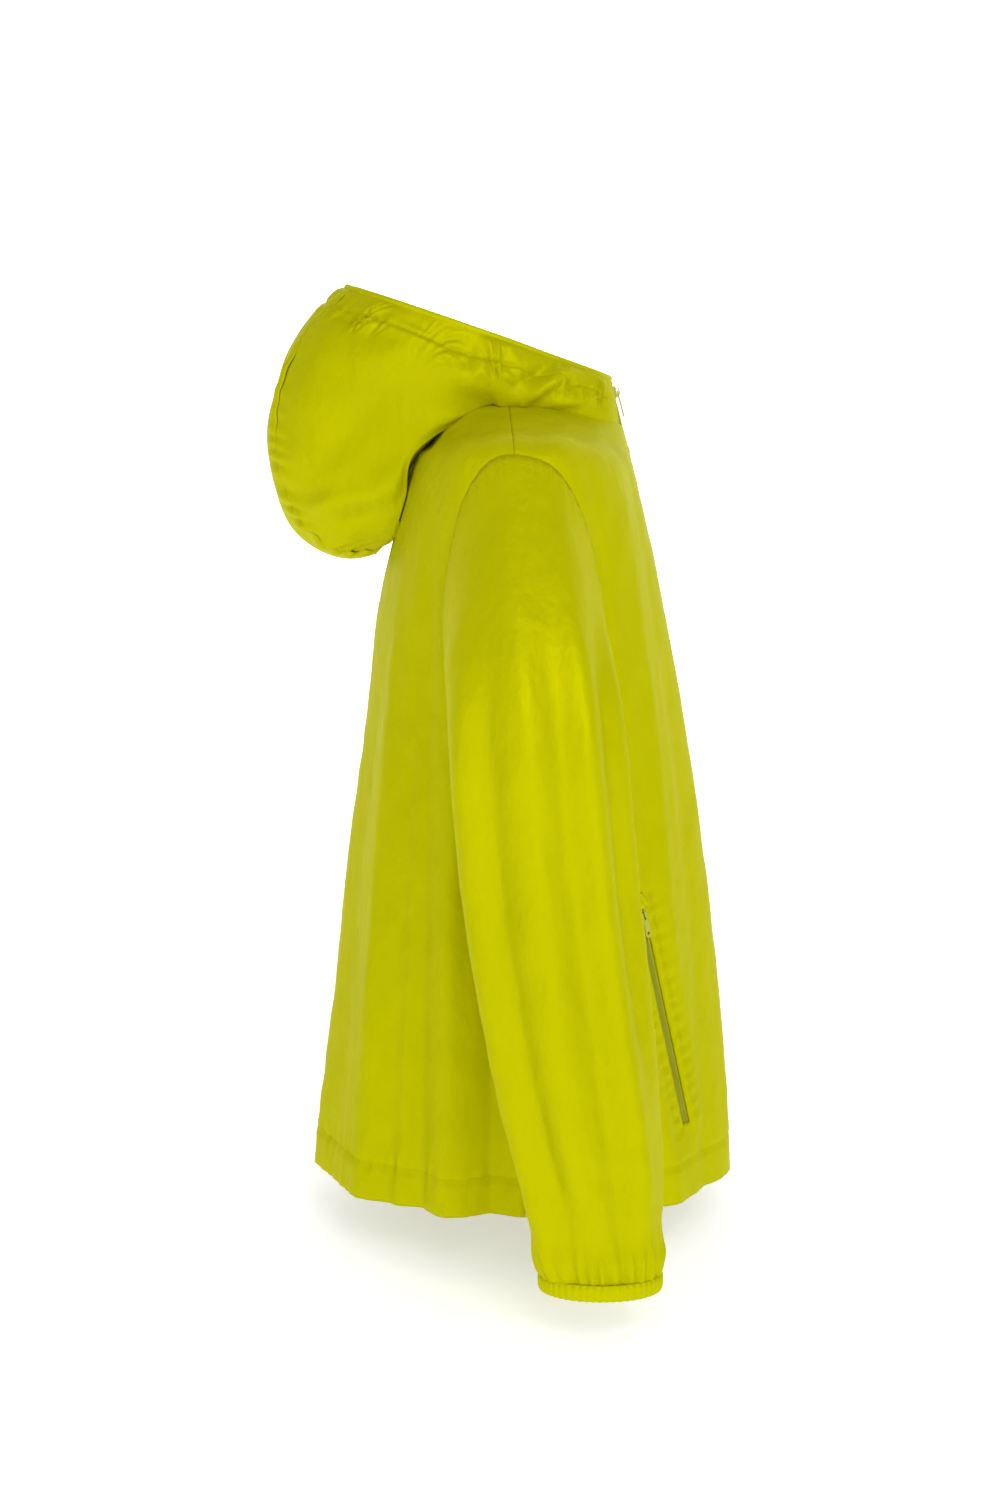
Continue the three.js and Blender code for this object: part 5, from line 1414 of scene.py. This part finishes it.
def stitch_row(name, grid, inner, measures, mirror, node):
    """Stitches of one piece, in the rows that measures gives for its outer and inner grids."""
    rows = [stitches_along(line_across(points, measure, value), line_across(points - under, measure, value))
            for points, under, measure, value in measures(grid, inner)]
    places = [np.concatenate(part) * mirror for part in zip(*rows)]
    obj = copies(name, stitch_rings(), places)
    dress(obj, None, thread, "shell_fabric", node)
    return obj


def turned(grid):
    """The grid with its rows and columns swapped."""
    return np.swapaxes(grid, 0, 1)


HEM_STITCH_ROW = HEM_BAND / (ARMPIT_HEIGHT - HEM_HEIGHT) * ARMPIT_ROW
ZIP_STITCH_COLUMN = 2.6
WELT_STITCH_COLUMNS = 3.4
WELT_STITCH_MARGIN = 0.01
SLEEVE_STITCH_SHARE = 0.010


def hem_row(grid, inner, rows):
    """The hem's row, over a panel whose rows stand at the given v."""
    measure = np.broadcast_to(rows[:, None], grid.shape[:2])
    return grid, inner, measure, HEM_STITCH_ROW


def front_rows(grid, inner):
    """Rows of a front panel: along the hem, beside the front zip and on both sides of the pocket."""
    columns = np.arange(grid.shape[1], dtype=float)
    yield hem_row(grid, inner, front_v)
    reach = np.broadcast_to(columns[:, None], turned(grid).shape[:2])
    yield turned(grid), turned(inner), reach, columns[-1] - ZIP_STITCH_COLUMN
    near = ((front_v >= POCKET_BOTTOM - WELT_STITCH_MARGIN)
            & (front_v <= POCKET_TOP + WELT_STITCH_MARGIN))
    for column in (side_columns - WELT_STITCH_COLUMNS, side_columns + slot_columns + WELT_STITCH_COLUMNS):
        yield turned(grid[near]), turned(inner[near]), reach[:, near], column


def back_rows(grid, inner):
    """The back panel's one row, along the hem."""
    yield hem_row(grid, inner, back_v)


def hood_rows(grid, inner):
    """The row under the elastic channel of a hood side and the collar below it."""
    yield grid, inner, from_rim, CHANNEL


def strip_rows(grid, inner):
    """The row under the elastic channel of the hood's centre strip."""
    yield grid, inner, strip_down, CHANNEL


def sleeve_rows(grid, inner):
    """The row round a sleeve's head, just below its seam."""
    yield grid, inner, t_grid, SLEEVE_STITCH_SHARE


back_grid_v = np.broadcast_to(back_v[:, None], back_u.shape)
back_relief = body_relief(back_u, back_grid_v)
back_outer = on_torso(back_u, back_grid_v, back_relief)
back_inner = on_torso(back_u, back_grid_v, back_relief - CLOTH)
back_stitches = stitch_row("back_panel_stitches", back_outer, back_inner, back_rows, np.ones(3),
                           "back_panel")
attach(back_stitches, "shell")
strip_stitches = stitch_row("hood_centre_stitches", strip_outer, strip_outer - strip_normal * CLOTH,
                            strip_rows, np.ones(3), "hood_centre_panel")
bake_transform(strip_stitches)
for side_name, mirror in (("right", np.ones(3)), ("left", MIRROR)):
    front = stitch_row(f"front_panel_{side_name}_stitches", front_outer, front_inner, front_rows, mirror,
                       f"front_panel_{side_name}")
    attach(front, "shell")
    hood_side = stitch_row(f"hood_side_{side_name}_stitches", hood_outer, hood_inner, hood_rows, mirror,
                           f"hood_side_{side_name}")
    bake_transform(hood_side)
    head = stitch_row(f"sleeve_{side_name}_stitches", sleeve_outer, sleeve_inner, sleeve_rows, mirror,
                      f"sleeve_{side_name}")
    start, end = (tuple(np.array(point) * mirror) for point in SLEEVE_BEND)
    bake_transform(head)
